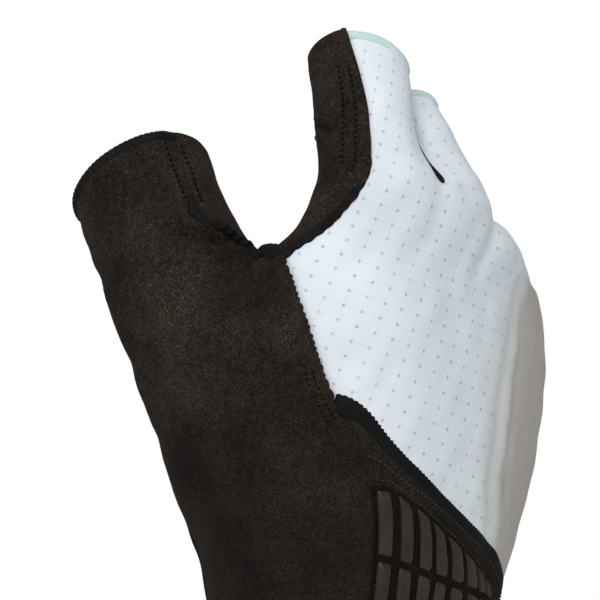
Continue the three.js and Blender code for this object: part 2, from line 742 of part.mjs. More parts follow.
const suede = 0x2d2620;
const pale = 0xd8e2e8;
const black = 0x1c1a1a;
const mint = 0xc3dcda;
addMesh("back_panel", panelGeometry("back_panel", fabricThickness), pale, 0.8);
const suedePanels = ["thumb_panel", "thumb_inner_panel", "index_side_panel", "palm_panel", ...gussets];
for (const name of [...suedePanels, "wrist_strip"])
  addMesh(name, panelGeometry(name, suedeThickness), suede, 0.95);
addMesh("rib_panel", ribPanelGeometry(), 0x26221f, 0.6);
addMesh("cuff_band", panelGeometry("cuff_band", suedeThickness), black, 0.9);

const rope = roundProfile(ropeWidth, suedeThickness / 2);
addMesh("crotch_binding", bandGeometry(crotchPath, rope, ropeWidth), black, 0.8);
const half = wristBindingWidth / 2;
const wristProfile = flatProfile(-half, half, bindingRise, -suedeThickness);
addMesh("wrist_binding", bandGeometry(wristPath, wristProfile, half + 5 * seamGap, 2 * seamGap), black, 0.8);
const hem = flatProfile(-thumbHemHeight, 0, bindingRise, -suedeThickness - bindingRise);
addMesh("thumb_hem", bandGeometry(thumbPath, hem, thumbHemHeight / 2), black, 0.9);
const tip = flatProfile(-tipBindingHeight, 0, bindingRise, -fabricThickness - bindingRise);
fingers.forEach(({ name }, f) =>
  addMesh(name + "_tip_binding", bandGeometry(tipPaths[f], tip, 3 * seamGap, seamGap), mint, 0.7),
);

export default group;
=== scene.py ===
import math

import bpy
import numpy as np
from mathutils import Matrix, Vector
from mathutils.kdtree import KDTree


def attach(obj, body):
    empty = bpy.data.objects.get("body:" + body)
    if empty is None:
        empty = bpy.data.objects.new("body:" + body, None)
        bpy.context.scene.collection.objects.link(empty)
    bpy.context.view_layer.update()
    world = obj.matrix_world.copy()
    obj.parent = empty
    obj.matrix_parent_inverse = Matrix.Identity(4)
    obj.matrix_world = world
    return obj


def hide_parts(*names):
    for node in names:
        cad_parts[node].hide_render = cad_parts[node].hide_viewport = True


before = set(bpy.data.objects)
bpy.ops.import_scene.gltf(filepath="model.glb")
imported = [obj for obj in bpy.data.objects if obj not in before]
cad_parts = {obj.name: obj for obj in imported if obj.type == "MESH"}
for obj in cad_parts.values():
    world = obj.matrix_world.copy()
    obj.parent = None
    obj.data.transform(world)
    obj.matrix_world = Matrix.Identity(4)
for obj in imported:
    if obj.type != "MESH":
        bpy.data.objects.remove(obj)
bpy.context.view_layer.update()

# Sizes of the glove, in millimetres
MM = 0.001
BODY_HEIGHT = 108.0
PALM_WIDTH = 84.0
PALM_DEPTH = 46.0
FINGER_WIDTH = 20.0
FINGER_DEPTH = 21.0
THUMB_WIDTH = 31.0
THUMB_DEPTH = 24.0
THUMB_REACH = 30.0
THUMB_HEIGHT = BODY_HEIGHT + 2.0
FABRIC = 1.2
SUEDE = 1.4
ROPE_WIDTH = 2.4
CORD_WIDTH = 2.3
TIP_BINDING = 2.2
THUMB_HEM = 2.3
WRIST_BINDING = 3.2
RIB_WIDTH = 3.3
RIB_GROOVE = 2.0
RIB_RISE = 0.9
RIB_ROW_GAP = 1.6
RIB_SPLIT = 29.5
RIB_SPLIT_FALL = 2.0  # lower at each column toward the little finger
RIB_MARGIN = 1.1

# The cage: sections of the hand, rows of the pattern, webs, fingers and thumb, as in the solid part
SECTION_KEYS = ("z", "x", "y", "half", "back", "palm", "thenar", "fall")
SECTIONS = [
    (0.0, 0.0, 0.0, 0.39, 0.52, 0.5, 0.0, 0.0),
    (0.24, 0.01, -0.01, 0.44, 0.6, 0.53, 0.0, 0.03),
    (0.46, 0.015, -0.12, 0.49, 0.64, 0.56, 0.29, 0.02),
    (0.67, 0.0, -0.28, 0.51, 0.52, 0.46, 0.45, 0.06),
    (0.85, -0.01, -0.42, 0.5, 0.41, 0.32, 0.2, 0.22),
    (1.0, 0.0, -0.48, 0.49, 0.35, 0.28, 0.0, 0.3),
]
ROW_KEYS = ("back0", "back4", "palm4", "palm0", "side", "near", "a", "n", "b", "c", "corner")
ROWS = [
    (0, 0, 0, 0, 0, 0, 50, 22, -8, -42, 0),
    (0.12, 0.04, 0.06, 0.1, 0.11, 0.12, 52, 22, -8, -42, 0),
    (0.44, 0.07, 0.14, 0.26, 0.35, 0.41, 52, 20, -12, -44, 0),
    (0.555, 0.1, 0.22, 0.36, 0.44, 0.54, 29, 6, -20, -48, 0.07),
    (0.69, 0.36, 0.46, 0.46, 0.52, 0.62, 24, -4, -28, -56, 0),
    (0.78, 0.54, 0.56, 0.64, 0.7, 0.75, 11, -16, -42, -68, 0),
    (0.86, 0.68, 0.63, 0.82, 0.86, 0.882, -10, -46, -64, -82, 0),
    (0.93, 0.78, 0.68, 0.9, 0.928, 0.934, 18, 0, -22, -52, 0),
]
ROW_EASE = 1.15
ROOT_ROW, CROTCH_ROW, TOP_ROW = 4, 6, 8
# Roots of the fingers: a point on the back and one on the palm, in shares of palm width, depth and height
WEBS = [
    (-0.46, -0.69, 0.99, -0.44, -0.31, 0.96),
    (-0.225, -0.87, 1.0, -0.215, -0.37, 0.96),
    (0.01, -0.86, 0.93, 0.01, -0.3, 0.85),
    (0.235, -0.72, 0.82, 0.235, -0.19, 0.72),
    (0.43, -0.48, 0.71, 0.42, -0.07, 0.61),
]
WEB_SIDE, WEB_NEAR_SIDE, WEB_DIP, KNUCKLE_SWELL = 0.05, 0.04, 0.03, 0.07
FINGER_NAMES = ("index", "middle", "ring", "little")
FINGER_KEYS = ("length", "width", "depth", "bend", "curl", "splay", "slant")
FINGERS = [
    (26.5, 1.0, 1.0, 7, 4, 9, 0.28),
    (23, 0.96, 1.0, 28, 5, 5, 0.1),
    (28, 0.9, 0.94, 47, 6, 1, 0.1),
    (25, 0.77, 0.84, 54, 6, 2, 0.1),
]
FINGER_RINGS = (0.33, 0.68, 1.0)
SEAM_TURNS = (4, 12, 3)
HIGH_SIDE = 200
# Centre in shares of palm width, thumb reach and thumb height, and the ring's width and depth in shares
THUMB_RINGS = [
    (-0.436, 0.31, 0.7, 1.12, 1.12),
    (-0.445, 0.54, 0.8, 1.0, 1.04),
    (-0.435, 0.8, 0.9, 0.97, 1.0),
    (-0.418, 0.95, 0.982, 0.98, 1.0),
]
THUMB_INNER_TURN, THUMB_HIGH_SIDE, THUMB_SLANT = -60, -68, 0.16
BACK_COLUMNS, COLUMNS, RING_SIDES = 9, 21, 8
EVEN_TURNS = (225, 270, 315, 0, 45, 90, 135, 180)
INDEX_TURNS = (203, 259, 315, 0, 45, 90, 135, 158, 180)
THUMB_TURNS = (135, 180, 225, 265, 303, 0, 45, 90)
RING_SWELL = 3 / (2 + math.cos(2 * math.pi / RING_SIDES))
BODY_SWELL, CORNER_POWER = 1.016, 0.83
THENAR_ANGLE, LITTLE_ANGLE, SIDE_ANGLE = -42, 145, 182
THENAR_ACROSS, THENAR_FORWARD = 0.77, 0.82
GUSSETS = ("index_middle_gusset", "middle_ring_gusset", "ring_little_gusset")


def unit(v):
    return v / np.maximum(np.linalg.norm(v, axis=-1, keepdims=True), 1e-12)


def tree_of(places):
    """A tree that finds the nearest of some places"""
    tree = KDTree(len(places))
    for k, q in enumerate(places):
        tree.insert(Vector(q), k)
    tree.balance()
    return tree


def walk(p):
    """Length walked along a path up to each of its points"""
    return np.concatenate([[0], np.cumsum(np.linalg.norm(np.diff(p, axis=0), axis=1))])


def values_at(at, walked, values):
    """Values of a path's points at some lengths along it"""
    return np.stack([np.interp(at, walked, values[:, k]) for k in range(3)], axis=-1)


def edge_codes(quads, n):
    """A number for each side of each face, the same for the two faces that meet there"""
    ends = np.sort(np.stack([quads, np.roll(quads, -1, axis=1)], axis=-1), axis=-1).reshape(-1, 2)
    return ends[:, 0].astype(np.int64) * n + ends[:, 1]


def section_at(z):
    last = len(SECTIONS) - 1
    i = 0
    while i < last - 1 and SECTIONS[i + 1][0] < z:
        i += 1
    low, high = np.array(SECTIONS[i]), np.array(SECTIONS[i + 1])
    share = min(max((z - low[0]) / (high[0] - low[0]), 0), 1.2)
    return dict(zip(SECTION_KEYS, low + (high - low) * share))


def body_point(angle, z):
    s = section_at(z)
    c, d = math.cos(math.radians(angle)), math.sin(math.radians(angle))
    across = -math.copysign(abs(c) ** CORNER_POWER, c) * s["half"] * PALM_WIDTH * BODY_SWELL
    depth = (s["back"] if d > 0 else s["palm"]) * PALM_DEPTH * BODY_SWELL
    fall = s["fall"] * PALM_DEPTH * ((1 + across / s["half"] / PALM_WIDTH) / 2) ** 2
    back = -math.copysign(abs(d) ** CORNER_POWER, d) * depth + fall
    toward = max(0.0, math.cos(math.radians(angle - THENAR_ANGLE)))
    swell = toward**2 * s["thenar"] * PALM_DEPTH
    return np.array([
        s["x"] * PALM_WIDTH + across - swell * math.cos(math.radians(THENAR_ANGLE)) * THENAR_ACROSS,
        s["y"] * PALM_DEPTH + back + swell * THENAR_FORWARD,
        z * BODY_HEIGHT,
    ])


cage_points = []
cage_faces = []
PANELS = []
PATCHES = ["hand", *FINGER_NAMES, "thumb"]


def add_point(p):
    cage_points.append(np.array(p, float))
    return len(cage_points) - 1


def add_face(panel, patch, corners, u, v):
    if panel not in PANELS:
        PANELS.append(panel)
    uv = [(u, v), (u + 1, v), (u + 1, v + 1), (u, v + 1)]
    cage_faces.append((corners, PANELS.index(panel), PATCHES.index(patch), uv))


def row_height(row, share):
    return row["back4"] + (row["back0"] - row["back4"]) * (1 - share) ** ROW_EASE


def body_row(values):
    row = dict(zip(ROW_KEYS, values))
    ring = []
    for i in range(BACK_COLUMNS):
        share = i / (BACK_COLUMNS - 1)
        angle = row["a"] + (LITTLE_ANGLE - row["a"]) * share
        lift = row["corner"] if i == 0 else 0
        ring.append(add_point(body_point(angle, row_height(row, share) + lift)))
    ring.append(add_point(body_point(SIDE_ANGLE, (row["back4"] + row["palm4"]) / 2)))
    for i in range(BACK_COLUMNS):
        share = i / (BACK_COLUMNS - 1)
        angle = -LITTLE_ANGLE + (row["c"] + LITTLE_ANGLE) * share
        height = row["palm4"] + (row["palm0"] - row["palm4"]) * share
        ring.append(add_point(body_point(angle, height)))
    ring.append(add_point(body_point(row["b"], row["side"])))
    ring.append(add_point(body_point(row["n"], row["near"])))
    return ring


def web_row():
    scale = np.array([PALM_WIDTH, PALM_DEPTH, BODY_HEIGHT])
    back = [np.array(w[:3]) * scale for w in WEBS]
    palm = [np.array(w[3:]) * scale for w in WEBS]
    lift = np.array([0, KNUCKLE_SWELL * PALM_DEPTH, 0])
    out = np.array([WEB_SIDE * PALM_WIDTH, 0, 0])
    near_out = np.array([WEB_NEAR_SIDE * PALM_WIDTH, 0, 0])
    ring = []
    for i in range(5):
        ring.append(add_point(back[i]))
        if i < 4:
            ring.append(add_point((back[i] + back[i + 1]) / 2 - lift))
    ring.append(add_point((back[4] + palm[4]) / 2 + out))
    for i in range(4, -1, -1):
        ring.append(add_point(palm[i]))
        if i > 0:
            ring.append(add_point((palm[i] + palm[i - 1]) / 2 + lift))
    for share in (1 / 3, 2 / 3):
        ring.append(add_point(palm[0] + (back[0] - palm[0]) * share - near_out))
    dip = np.array([0, 0, -WEB_DIP * BODY_HEIGHT])
    crotches = [add_point((back[i] + palm[i]) / 2 + dip) for i in (1, 2, 3)]
    return ring, crotches


def ring_points(centre, axis, first, width, depth, slant, slant_turn, turns):
    along = unit(axis)
    x = unit(first - along * (first @ along))
    y = np.cross(along, x)
    made = []
    for degrees in turns:
        t = math.radians(degrees)
        p = centre + x * (width / 2 * RING_SWELL * math.cos(t)) + y * (depth / 2 * RING_SWELL * math.sin(t))
        made.append(add_point(p + along * (slant * math.cos(t - math.radians(slant_turn)))))
    return made


def body_panel(c, r):
    if r < 1:
        return "cuff_band"
    if c >= 18:
        return "thumb_panel" if r < CROTCH_ROW else "index_side_panel"
    if c < 10:
        return "rib_panel" if r < 2 else "wrist_strip" if r < 3 else "back_panel"
    return "palm_panel"


def finger_panel(f, side):
    if side < 2:
        return "back_panel"
    if side < 4:
        return "back_panel" if f == 3 else GUSSETS[f]
    if side < 6:
        return "palm_panel"
    return "index_side_panel" if f == 0 else GUSSETS[f - 1]


def build_cage():
    rings = [body_row(values) for values in ROWS]
    web_ring, crotches = web_row()
    rings.append(web_ring)
    for r in range(TOP_ROW):
        for c in range(COLUMNS):
            n = (c + 1) % COLUMNS
            if c in (18, 19) and ROOT_ROW <= r < CROTCH_ROW:
                continue
            corners = [rings[r][c], rings[r][n], rings[r + 1][n], rings[r + 1][c]]
            add_face(body_panel(c, r), "hand", corners, c, r)
    for f, values in enumerate(FINGERS):
        finger = dict(zip(FINGER_KEYS, values))
        back = [web_ring[2 * f + k] for k in range(3)]
        front = [web_ring[16 - 2 * f + k] for k in range(3)]
        near = [web_ring[19], web_ring[20]] if f == 0 else [crotches[f - 1]]
        far = web_ring[9] if f == 3 else crotches[f]
        lower = [*back, far, *front, *near]
        centre = np.mean([cage_points[i] for i in lower], axis=0)
        reached = 0.0
        for j, share in enumerate(FINGER_RINGS):
            bend = math.radians(finger["bend"] + finger["curl"] * j)
            axis = unit(np.array([math.sin(math.radians(finger["splay"])), math.sin(bend), math.cos(bend)]))
            centre = centre + axis * (share - reached) * finger["length"]
            reached = share
            slant = finger["slant"] * FINGER_WIDTH if j == len(FINGER_RINGS) - 1 else 0
            size = finger["width"] * FINGER_WIDTH, finger["depth"] * FINGER_DEPTH
            turns = (INDEX_TURNS[0] + SEAM_TURNS[j], *INDEX_TURNS[1:]) if f == 0 else EVEN_TURNS
            ring = ring_points(centre, axis, np.array([1.0, 0, 0]), *size, slant, HIGH_SIDE, turns)
            for i in range(len(ring)):
                n = (i + 1) % len(ring)
                corners = [lower[i], lower[n], ring[n], ring[i]]
                add_face(finger_panel(f, i), FINGER_NAMES[f], corners, i, TOP_ROW + j)
            lower = ring
    r, m, c = rings[ROOT_ROW], rings[ROOT_ROW + 1], rings[CROTCH_ROW]
    lower = [r[18], r[19], r[20], m[20], c[20], c[19], c[18], m[18]]
    scale = np.array([PALM_WIDTH, THUMB_REACH, THUMB_HEIGHT])
    centres = [np.array(t[:3]) * scale for t in THUMB_RINGS]
    turn = math.radians(THUMB_INNER_TURN)
    inner = np.array([math.cos(turn), math.sin(turn), 0])
    last = len(centres) - 1
    for j, t in enumerate(THUMB_RINGS):
        axis = centres[min(last, j + 1)] - centres[max(0, j - 1)]
        slant = THUMB_SLANT * THUMB_WIDTH if j == last else 0
        size = t[3] * THUMB_WIDTH, t[4] * THUMB_DEPTH
        ring = ring_points(centres[j], axis, inner, *size, slant, THUMB_HIGH_SIDE, THUMB_TURNS)
        for i in range(RING_SIDES):
            n = (i + 1) % RING_SIDES
            panel = "thumb_inner_panel" if i in (4, 5) else "thumb_panel"
            add_face(panel, "thumb", [lower[i], lower[n], ring[n], ring[i]], i, j)
        lower = ring


build_cage()


# Catmull-Clark smoothing of the cage, each round splitting every face into four
def refine(points, faces, uv):
    n = len(points)
    codes, inverse, count = np.unique(edge_codes(faces, n), return_inverse=True, return_counts=True)
    ends = np.stack([codes // n, codes % n], axis=-1)
    centre = points[faces].mean(axis=1)
    total = np.zeros((len(codes), 3))
    np.add.at(total, inverse, np.repeat(centre, 4, axis=0))
    ends_sum = points[ends[:, 0]] + points[ends[:, 1]]
    inside = (count == 2)[:, None]
    edge_points = np.where(inside, (ends_sum + total) / 4, ends_sum / 2)
    valence = np.bincount(faces.ravel(), minlength=n)[:, None]
    around_faces = np.zeros((n, 3))
    np.add.at(around_faces, faces.ravel(), np.repeat(centre, 4, axis=0))
    around_edges = np.zeros((n, 3))
    np.add.at(around_edges, ends[:, 0], ends_sum)
    np.add.at(around_edges, ends[:, 1], ends_sum)
    smooth = (around_faces + around_edges) / valence**2 + points * (valence - 3) / valence
    rim = count == 1
    rim_sum = np.zeros((n, 3))
    rim_count = np.zeros(n)
    for one, two in ((0, 1), (1, 0)):
        np.add.at(rim_sum, ends[rim, one], points[ends[rim, two]])
        np.add.at(rim_count, ends[rim, one], 1)
    on_rim = rim_count > 0
    smooth[on_rim] = points[on_rim] * 0.75 + rim_sum[on_rim] * 0.125
    made = np.concatenate([smooth, edge_points, centre])
    mid = inverse.reshape(-1, 4) + n
    middle = np.arange(len(faces)) + n + len(codes)
    uv_mid = (uv + np.roll(uv, -1, axis=1)) / 2
    uv_centre = uv.mean(axis=1)
    split, split_uv = [], []
    for i in range(4):
        before = (i + 3) % 4
        split.append(np.stack([faces[:, i], mid[:, i], middle, mid[:, before]], axis=-1))
        split_uv.append(np.stack([uv[:, i], uv_mid[:, i], uv_centre, uv_mid[:, before]], axis=1))
    new_faces = np.stack(split, axis=1).reshape(-1, 4)
    new_uv = np.stack(split_uv, axis=1).reshape(-1, 4, 2)
    return made, new_faces, new_uv


ROUNDS = 4
STEP = 2**ROUNDS  # faces to each side of a face of the cage
points = np.array(cage_points)
faces = np.array([f[0] for f in cage_faces])
uvs = np.array([f[3] for f in cage_faces], float)
for _ in range(ROUNDS):
    points, faces, uvs = refine(points, faces, uvs)
panel_of = np.repeat([f[1] for f in cage_faces], STEP * STEP)
patch_of = np.repeat([f[2] for f in cage_faces], STEP * STEP)


def normals_of(points, faces):
    p = points[faces]
    n = unit(np.cross(p[:, 2] - p[:, 0], p[:, 3] - p[:, 1]))
    made = np.zeros_like(points)
    np.add.at(made, faces.ravel(), np.repeat(n, 4, axis=0))
    return unit(made)


normals = normals_of(points, faces)

# Grids of point numbers by patch, column and row
grids = {}
for number, name in enumerate(PATCHES):
    chosen = patch_of == number
    key = np.rint(uvs[chosen] * STEP).astype(int)
    grid = np.full((COLUMNS * STEP + 1, (TOP_ROW + 3) * STEP + 1), -1)
    grid[key[..., 0], key[..., 1]] = faces[chosen]
    grids[name] = grid


def sample(patch, u, v):
    """Points and outward directions at places on a patch, between its grid's points"""
    grid = grids[patch]
    u = np.atleast_1d(np.asarray(u, float)) * STEP
    v = np.atleast_1d(np.asarray(v, float)) * STEP
    u, v = np.broadcast_arrays(u, v)
    i, j = np.floor(u).astype(int), np.floor(v).astype(int)
    i = np.where((i >= grid.shape[0] - 1) | (grid[np.minimum(i + 1, grid.shape[0] - 1), j] < 0), i - 1, i)
    j = np.where((j >= grid.shape[1] - 1) | (grid[i, np.minimum(j + 1, grid.shape[1] - 1)] < 0), j - 1, j)
    s, t = (u - i)[:, None], (v - j)[:, None]
    out = []
    for table in (points, normals):
        low = table[grid[i, j]] * (1 - s) + table[grid[i + 1, j]] * s
        high = table[grid[i, j + 1]] * (1 - s) + table[grid[i + 1, j + 1]] * s
        out.append(low * (1 - t) + high * t)
    return out[0], unit(out[1])


def route(patch, corners, spacing=0.3):
    """A line over a patch through corners given as column and row, in even steps of length"""
    places = []
    for (u0, v0), (u1, v1) in zip(corners, corners[1:]):
        steps = max(2, int(max(abs(u1 - u0), abs(v1 - v0)) * 40))
        share = np.arange(steps) / steps
        places.append(np.stack([u0 + (u1 - u0) * share, v0 + (v1 - v0) * share], axis=-1))
    places.append(np.array([corners[-1]], float))
    places = np.concatenate(places)
    p, n = sample(patch, places[:, 0], places[:, 1])
    return evenly(p, n, spacing)


def evenly(p, n, spacing):
    walked = walk(p)
    count = max(2, int(round(walked[-1] / spacing)) + 1)
    at = np.linspace(0, walked[-1], count)
    return values_at(at, walked, p), unit(values_at(at, walked, n))


def join_routes(*parts):
    p = np.concatenate([part[0] for part in parts])
    n = np.concatenate([part[1] for part in parts])
    return p, n


def beside(path, distance):
    """A path moved to its left by a distance, and back onto the surface"""
    p, n = path
    along = unit(np.gradient(p, axis=0))
    left = unit(np.cross(n, along))
    moved = p + left * distance
    for _ in range(2):
        hit = [surface_tree.find(Vector(q))[1] for q in moved]
        base, out = points[hit], normals[hit]
        moved = moved - out * np.sum((moved - base) * out, axis=1, keepdims=True)
    return moved, unit(normals[hit])


# The crease beside which the back turns to the little finger's side: rows and columns
CREASE = [(3.0, 5.2), (3.8, 4.78), (4.7, 5.03), (5.7, 5.66), (6.8, 5.91), (8.0, 6.4)]

# Folds: patch, line, half width, height (negative is a crease) and share of it pushed up beside
FOLDS = [
    ("thumb", [(3.0, 2.5), (3.7, 2.14), (4.4, 1.86)], 1.3, -2.0, 0.5),
    ("thumb", [(3.5, 1.5), (2.9, 1.1), (2.3, 1.2)], 2.4, -0.5, 0.3),
    ("thumb", [(2.9, 3.1), (2.2, 2.9), (1.4, 3.0)], 2.6, -0.35, 0.3),
    ("thumb", [(1.6, 1.3), (0.8, 1.1), (0.1, 1.2)], 2.4, -0.4, 0.3),
    ("index", [(6.1, 9.5), (6.8, 9.42), (7.7, 9.25)], 0.9, -1.1, 0.6),
    ("index", [(0.6, 8.8), (1.2, 8.7), (1.8, 8.75)], 2.0, -0.25, 0.2),
    ("middle", [(0.15, 8.1), (0.8, 8.15), (1.5, 8.3)], 1.5, -0.5, 0.3),
    ("hand", [(2.0, 7.9), (2.6, 7.2), (2.9, 6.6)], 2.6, -0.4, 0.3),
    ("hand", [(4.0, 7.9), (4.3, 7.2), (4.4, 6.6)], 2.6, -0.5, 0.3),
    ("hand", [(u, v) for v, u in CREASE[:-1]], 1.5, 0.5, 0.6),
    ("hand", [(19.2, 1.6), (20.0, 2.1), (20.8, 2.2)], 2.6, -0.5, 0.35),
    ("hand", [(18.4, 2.4), (19.4, 2.9), (20.4, 3.0)], 2.8, -0.45, 0.35),
    ("hand", [(19.0, 3.2), (20.0, 3.6), (20.8, 3.5)], 2.2, -0.35, 0.35),
    ("hand", [(14.6, 4.4), (13.6, 3.8), (12.4, 3.4)], 3.0, -0.5, 0.4),
    ("hand", [(15.0, 6.2), (13.8, 5.7), (12.0, 5.6)], 3.0, -0.5, 0.4),
]
FOLDS_FACING = (0.2, 0.7)  # how far the cloth faces the fold's way where it starts to move, and moves fully
FOLD_REACH = 3.5  # in half widths
FOLD_END, FOLD_FADE = 0.25, 0.25  # share of the height at a fold's ends, and of its length that fades to them

# Broad forms of the worn glove: patch, line, half width and height
FORMS = [
    ("hand", [(18.8, 6.1), (18.6, 7.0), (18.4, 8.0)], 5.5, -3.0),
    ("index", [(6.3, 8.0), (6.3, 8.6), (6.3, 9.2)], 5.0, -1.0),
    ("thumb", [(1.0, 2.6), (0.95, 1.4), (0.8, 0.5), (0.5, 0.05)], 7.0, 1.7),
    ("hand", [(7.6, 4.2), (7.5, 3.2), (7.3, 2.4), (7.2, 1.6)], 7.0, -1.5),
]

# Places where the cloth would be creased too sharply: patch, column, row and reach
ROOTS_RELAXED = [
    ("hand", 6.4, 7.8, 4.0), ("hand", 7.4, 7.7, 5.0), ("hand", 8.4, 7.7, 5.0), ("hand", 9.2, 7.8, 4.0),
    ("hand", 18.4, 7.0, 5.0), ("hand", 19.2, 6.9, 5.0), ("hand", 18.6, 7.7, 5.0),
]
FOLD_RELAXED = [("thumb", 3.8, 2.1, 1.5)]
ROOT_ROUNDS, FOLD_ROUNDS, RELAX_SHARE = 160, 6, 0.5

# Seams that wander off the straight columns and rows: row and shift in columns, column and shift in rows
SIDE_SEAM = [
    (0, 0), (3.0, 0), (3.6, 0.04), (4.2, 0.08), (5.0, 0.14), (5.5, 0.2), (5.9, 0.02), (6.2, 0.05),
    (6.5, 0.2), (6.9, 0.08), (7.3, -0.1), (7.8, -0.14), (8.4, 0), (9.0, 0.06), (9.6, 0.04), (11.0, -0.2),
]
RIB_SEAM = [
    (0, 0.03), (0.3, 0.06), (1.1, 0.2), (1.9, 0.33), (2.7, 0.41), (3.4, 0.48),
    (4.2, 0.52), (6.0, 0.4), (8.0, 0.15), (10.0, 0), (20.0, 0), (21.0, 0.03),
]
RIB_FOOT_ROW, RIB_ROW = 1, 2


def slide():
    """Moves the surface's points over the surface, so that its seams run where the real ones do"""
    moved = points.copy()
    done = np.zeros(len(points), bool)
    for name, turns in (("index", BACK_COLUMNS), ("hand", COLUMNS)):
        grid = grids[name]
        i, j = np.nonzero(grid >= 0)
        keep = i < turns * STEP
        i, j = i[keep], j[keep]
        u, v = i / STEP, j / STEP
        from_seam = np.minimum(u, turns - u)
        near = np.clip(1 - from_seam, 0, 1)
        shift = np.interp(v, *np.array(SIDE_SEAM).T) * near
        up = np.zeros(len(u))
        if name == "hand":
            up = np.interp(u, *np.array(RIB_SEAM).T) * np.clip(1 - abs(v - RIB_ROW), 0, 1)
        new_u = np.mod(u + shift, turns)
        p, _ = sample(name, new_u, v + up)
        ids = grid[i, j]
        change = (abs(shift) + abs(up) > 0) & ~done[ids]
        moved[ids[change]] = p[change]
        done[ids[change]] = True
    return moved


def fold_surface(folds):
    global points
    moved = points.copy()
    for patch, line, width, depth, side in folds:
        p, n = route(patch, line, 0.6)
        tree = tree_of(p)
        reach = FOLD_REACH * width
        low, high = p.min(axis=0) - reach, p.max(axis=0) + reach
        near = np.flatnonzero(np.all((points > low) & (points < high), axis=1))
        length = len(p) - 1
        for i in near:
            _, k, d = tree.find(Vector(points[i]))
            facing = float(np.interp(normals[i] @ n[k], FOLDS_FACING, (0, 1)))
            if d > reach or facing == 0:
                continue
            fade = min(1.0, k / length / FOLD_FADE, (length - k) / length / FOLD_FADE)
            dip = math.exp(-((d / width) ** 2))
            beside_it = side * math.exp(-(((d - 2 * width) / width) ** 2))
            moved[i] += normals[i] * depth * facing * (dip - beside_it) * (FOLD_END + (1 - FOLD_END) * fade)
    points = moved


def relax(places, rounds):
    """Draws the surface's points round some places toward their neighbours' middle"""
    codes, uses = np.unique(edge_codes(faces, len(points)), return_counts=True)
    ends = np.stack([codes // len(points), codes % len(points)], axis=-1)
    weight = np.zeros(len(points))
    for patch, u, v, reach in places:
        away = np.linalg.norm(points - sample(patch, u, v)[0], axis=1)
        weight = np.maximum(weight, np.exp(-((away / reach) ** 2)))
    weight[ends[uses == 1].ravel()] = 0
    ends = ends[weight[ends].max(axis=1) > 0.01]
    here = np.concatenate([ends[:, 0], ends[:, 1]])
    there = np.concatenate([ends[:, 1], ends[:, 0]])
    count = np.bincount(here, minlength=len(points))
    weight = np.where((count > 2) & (weight > 0.01), weight, 0)
    for _ in range(rounds):
        for k in range(3):
            total = np.bincount(here, weights=points[there, k], minlength=len(points))
            points[:, k] += (total / np.maximum(count, 1) - points[:, k]) * weight * RELAX_SHARE


points = slide()
normals = normals_of(points, faces)
fold_surface([(*form, 0.0) for form in FORMS])
relax(ROOTS_RELAXED, ROOT_ROUNDS)
normals = normals_of(points, faces)
fold_surface(FOLDS)
relax(FOLD_RELAXED, FOLD_ROUNDS)

# Slow, uneven swells of the cloth
SWELLS = [(0.13, 0.31, 0.22, 0.4), (0.37, 0.11, 0.29, 1.9), (0.21, 0.43, 0.41, 3.1), (0.52, 0.33, 0.17, 5.0)]
SWELL_DEPTH = 0.09
for x, y, z, phase in SWELLS:
    wave = np.sin(points @ np.array([x, y, z]) + phase) * np.sin(points @ np.array([-y, z, x]) + 2 * phase)
    points += normals * (wave * SWELL_DEPTH)[:, None]
normals = normals_of(points, faces)

surface_tree = tree_of(points)

# Seams between panels lie a little lower than the cloth beside them
edge_code = edge_codes(faces, len(points))
edge_panel = np.repeat(panel_of, 4)
order = np.argsort(edge_code, kind="stable")
same = edge_code[order][1:] == edge_code[order][:-1]
differs = same & (edge_panel[order][1:] != edge_panel[order][:-1])
seam_codes = edge_code[order][1:][differs]
seam_points = np.unique(np.concatenate([seam_codes // len(points), seam_codes % len(points)]))

# The thumb's seam is a raised ridge in its lower half, and has no dip there
RIDGE_COLUMN, RIDGE_TOP = 4, 2.4
thumb_ids = grids["thumb"][RIDGE_COLUMN * STEP, : int(RIDGE_TOP * STEP)]
seam_points = np.setdiff1d(seam_points, thumb_ids)

SEAM_DIP, SEAM_REACH = 0.4, 1.0
seam_tree = tree_of(points[seam_points])
seam_distance = np.array([seam_tree.find(Vector(q))[2] for q in points])
points = points - normals * (SEAM_DIP * np.exp(-((seam_distance / SEAM_REACH) ** 2)))[:, None]


# Laid-over edges: the suede lies on the pale cloth, and its cut edge is pinked along the thumb's panel
LAP_RISE, LAP_REACH, LAP_OUT = 0.7, 2.2, 0.35
LAP_INNER = 0.85  # share of the rise that the wall's inner side makes
LAP_NEAR = 0.9  # the rim is pushed out where it is this near to the seam
# Panel, points along its lapped edge, and depth of the teeth there
LAPS = {
    "thumb_panel": (tree_of(route("hand", [(0, 3), (0, CROTCH_ROW)])[0]), 0.22),
    "index_side_panel": (tree_of(route("index", [(0, TOP_ROW), (0, TOP_ROW + 3)])[0]), 0.0),
}


# The pale panel laid flat like the cloth it was cut from, turned so that a row of its perforations
# runs through two places on the back, and counted in perforations
ROW_THROUGH = [(0.34, 5.28), (4.03, 5.28)]
COLUMN_PITCH = 4.35
ROW_PITCH = 3.33


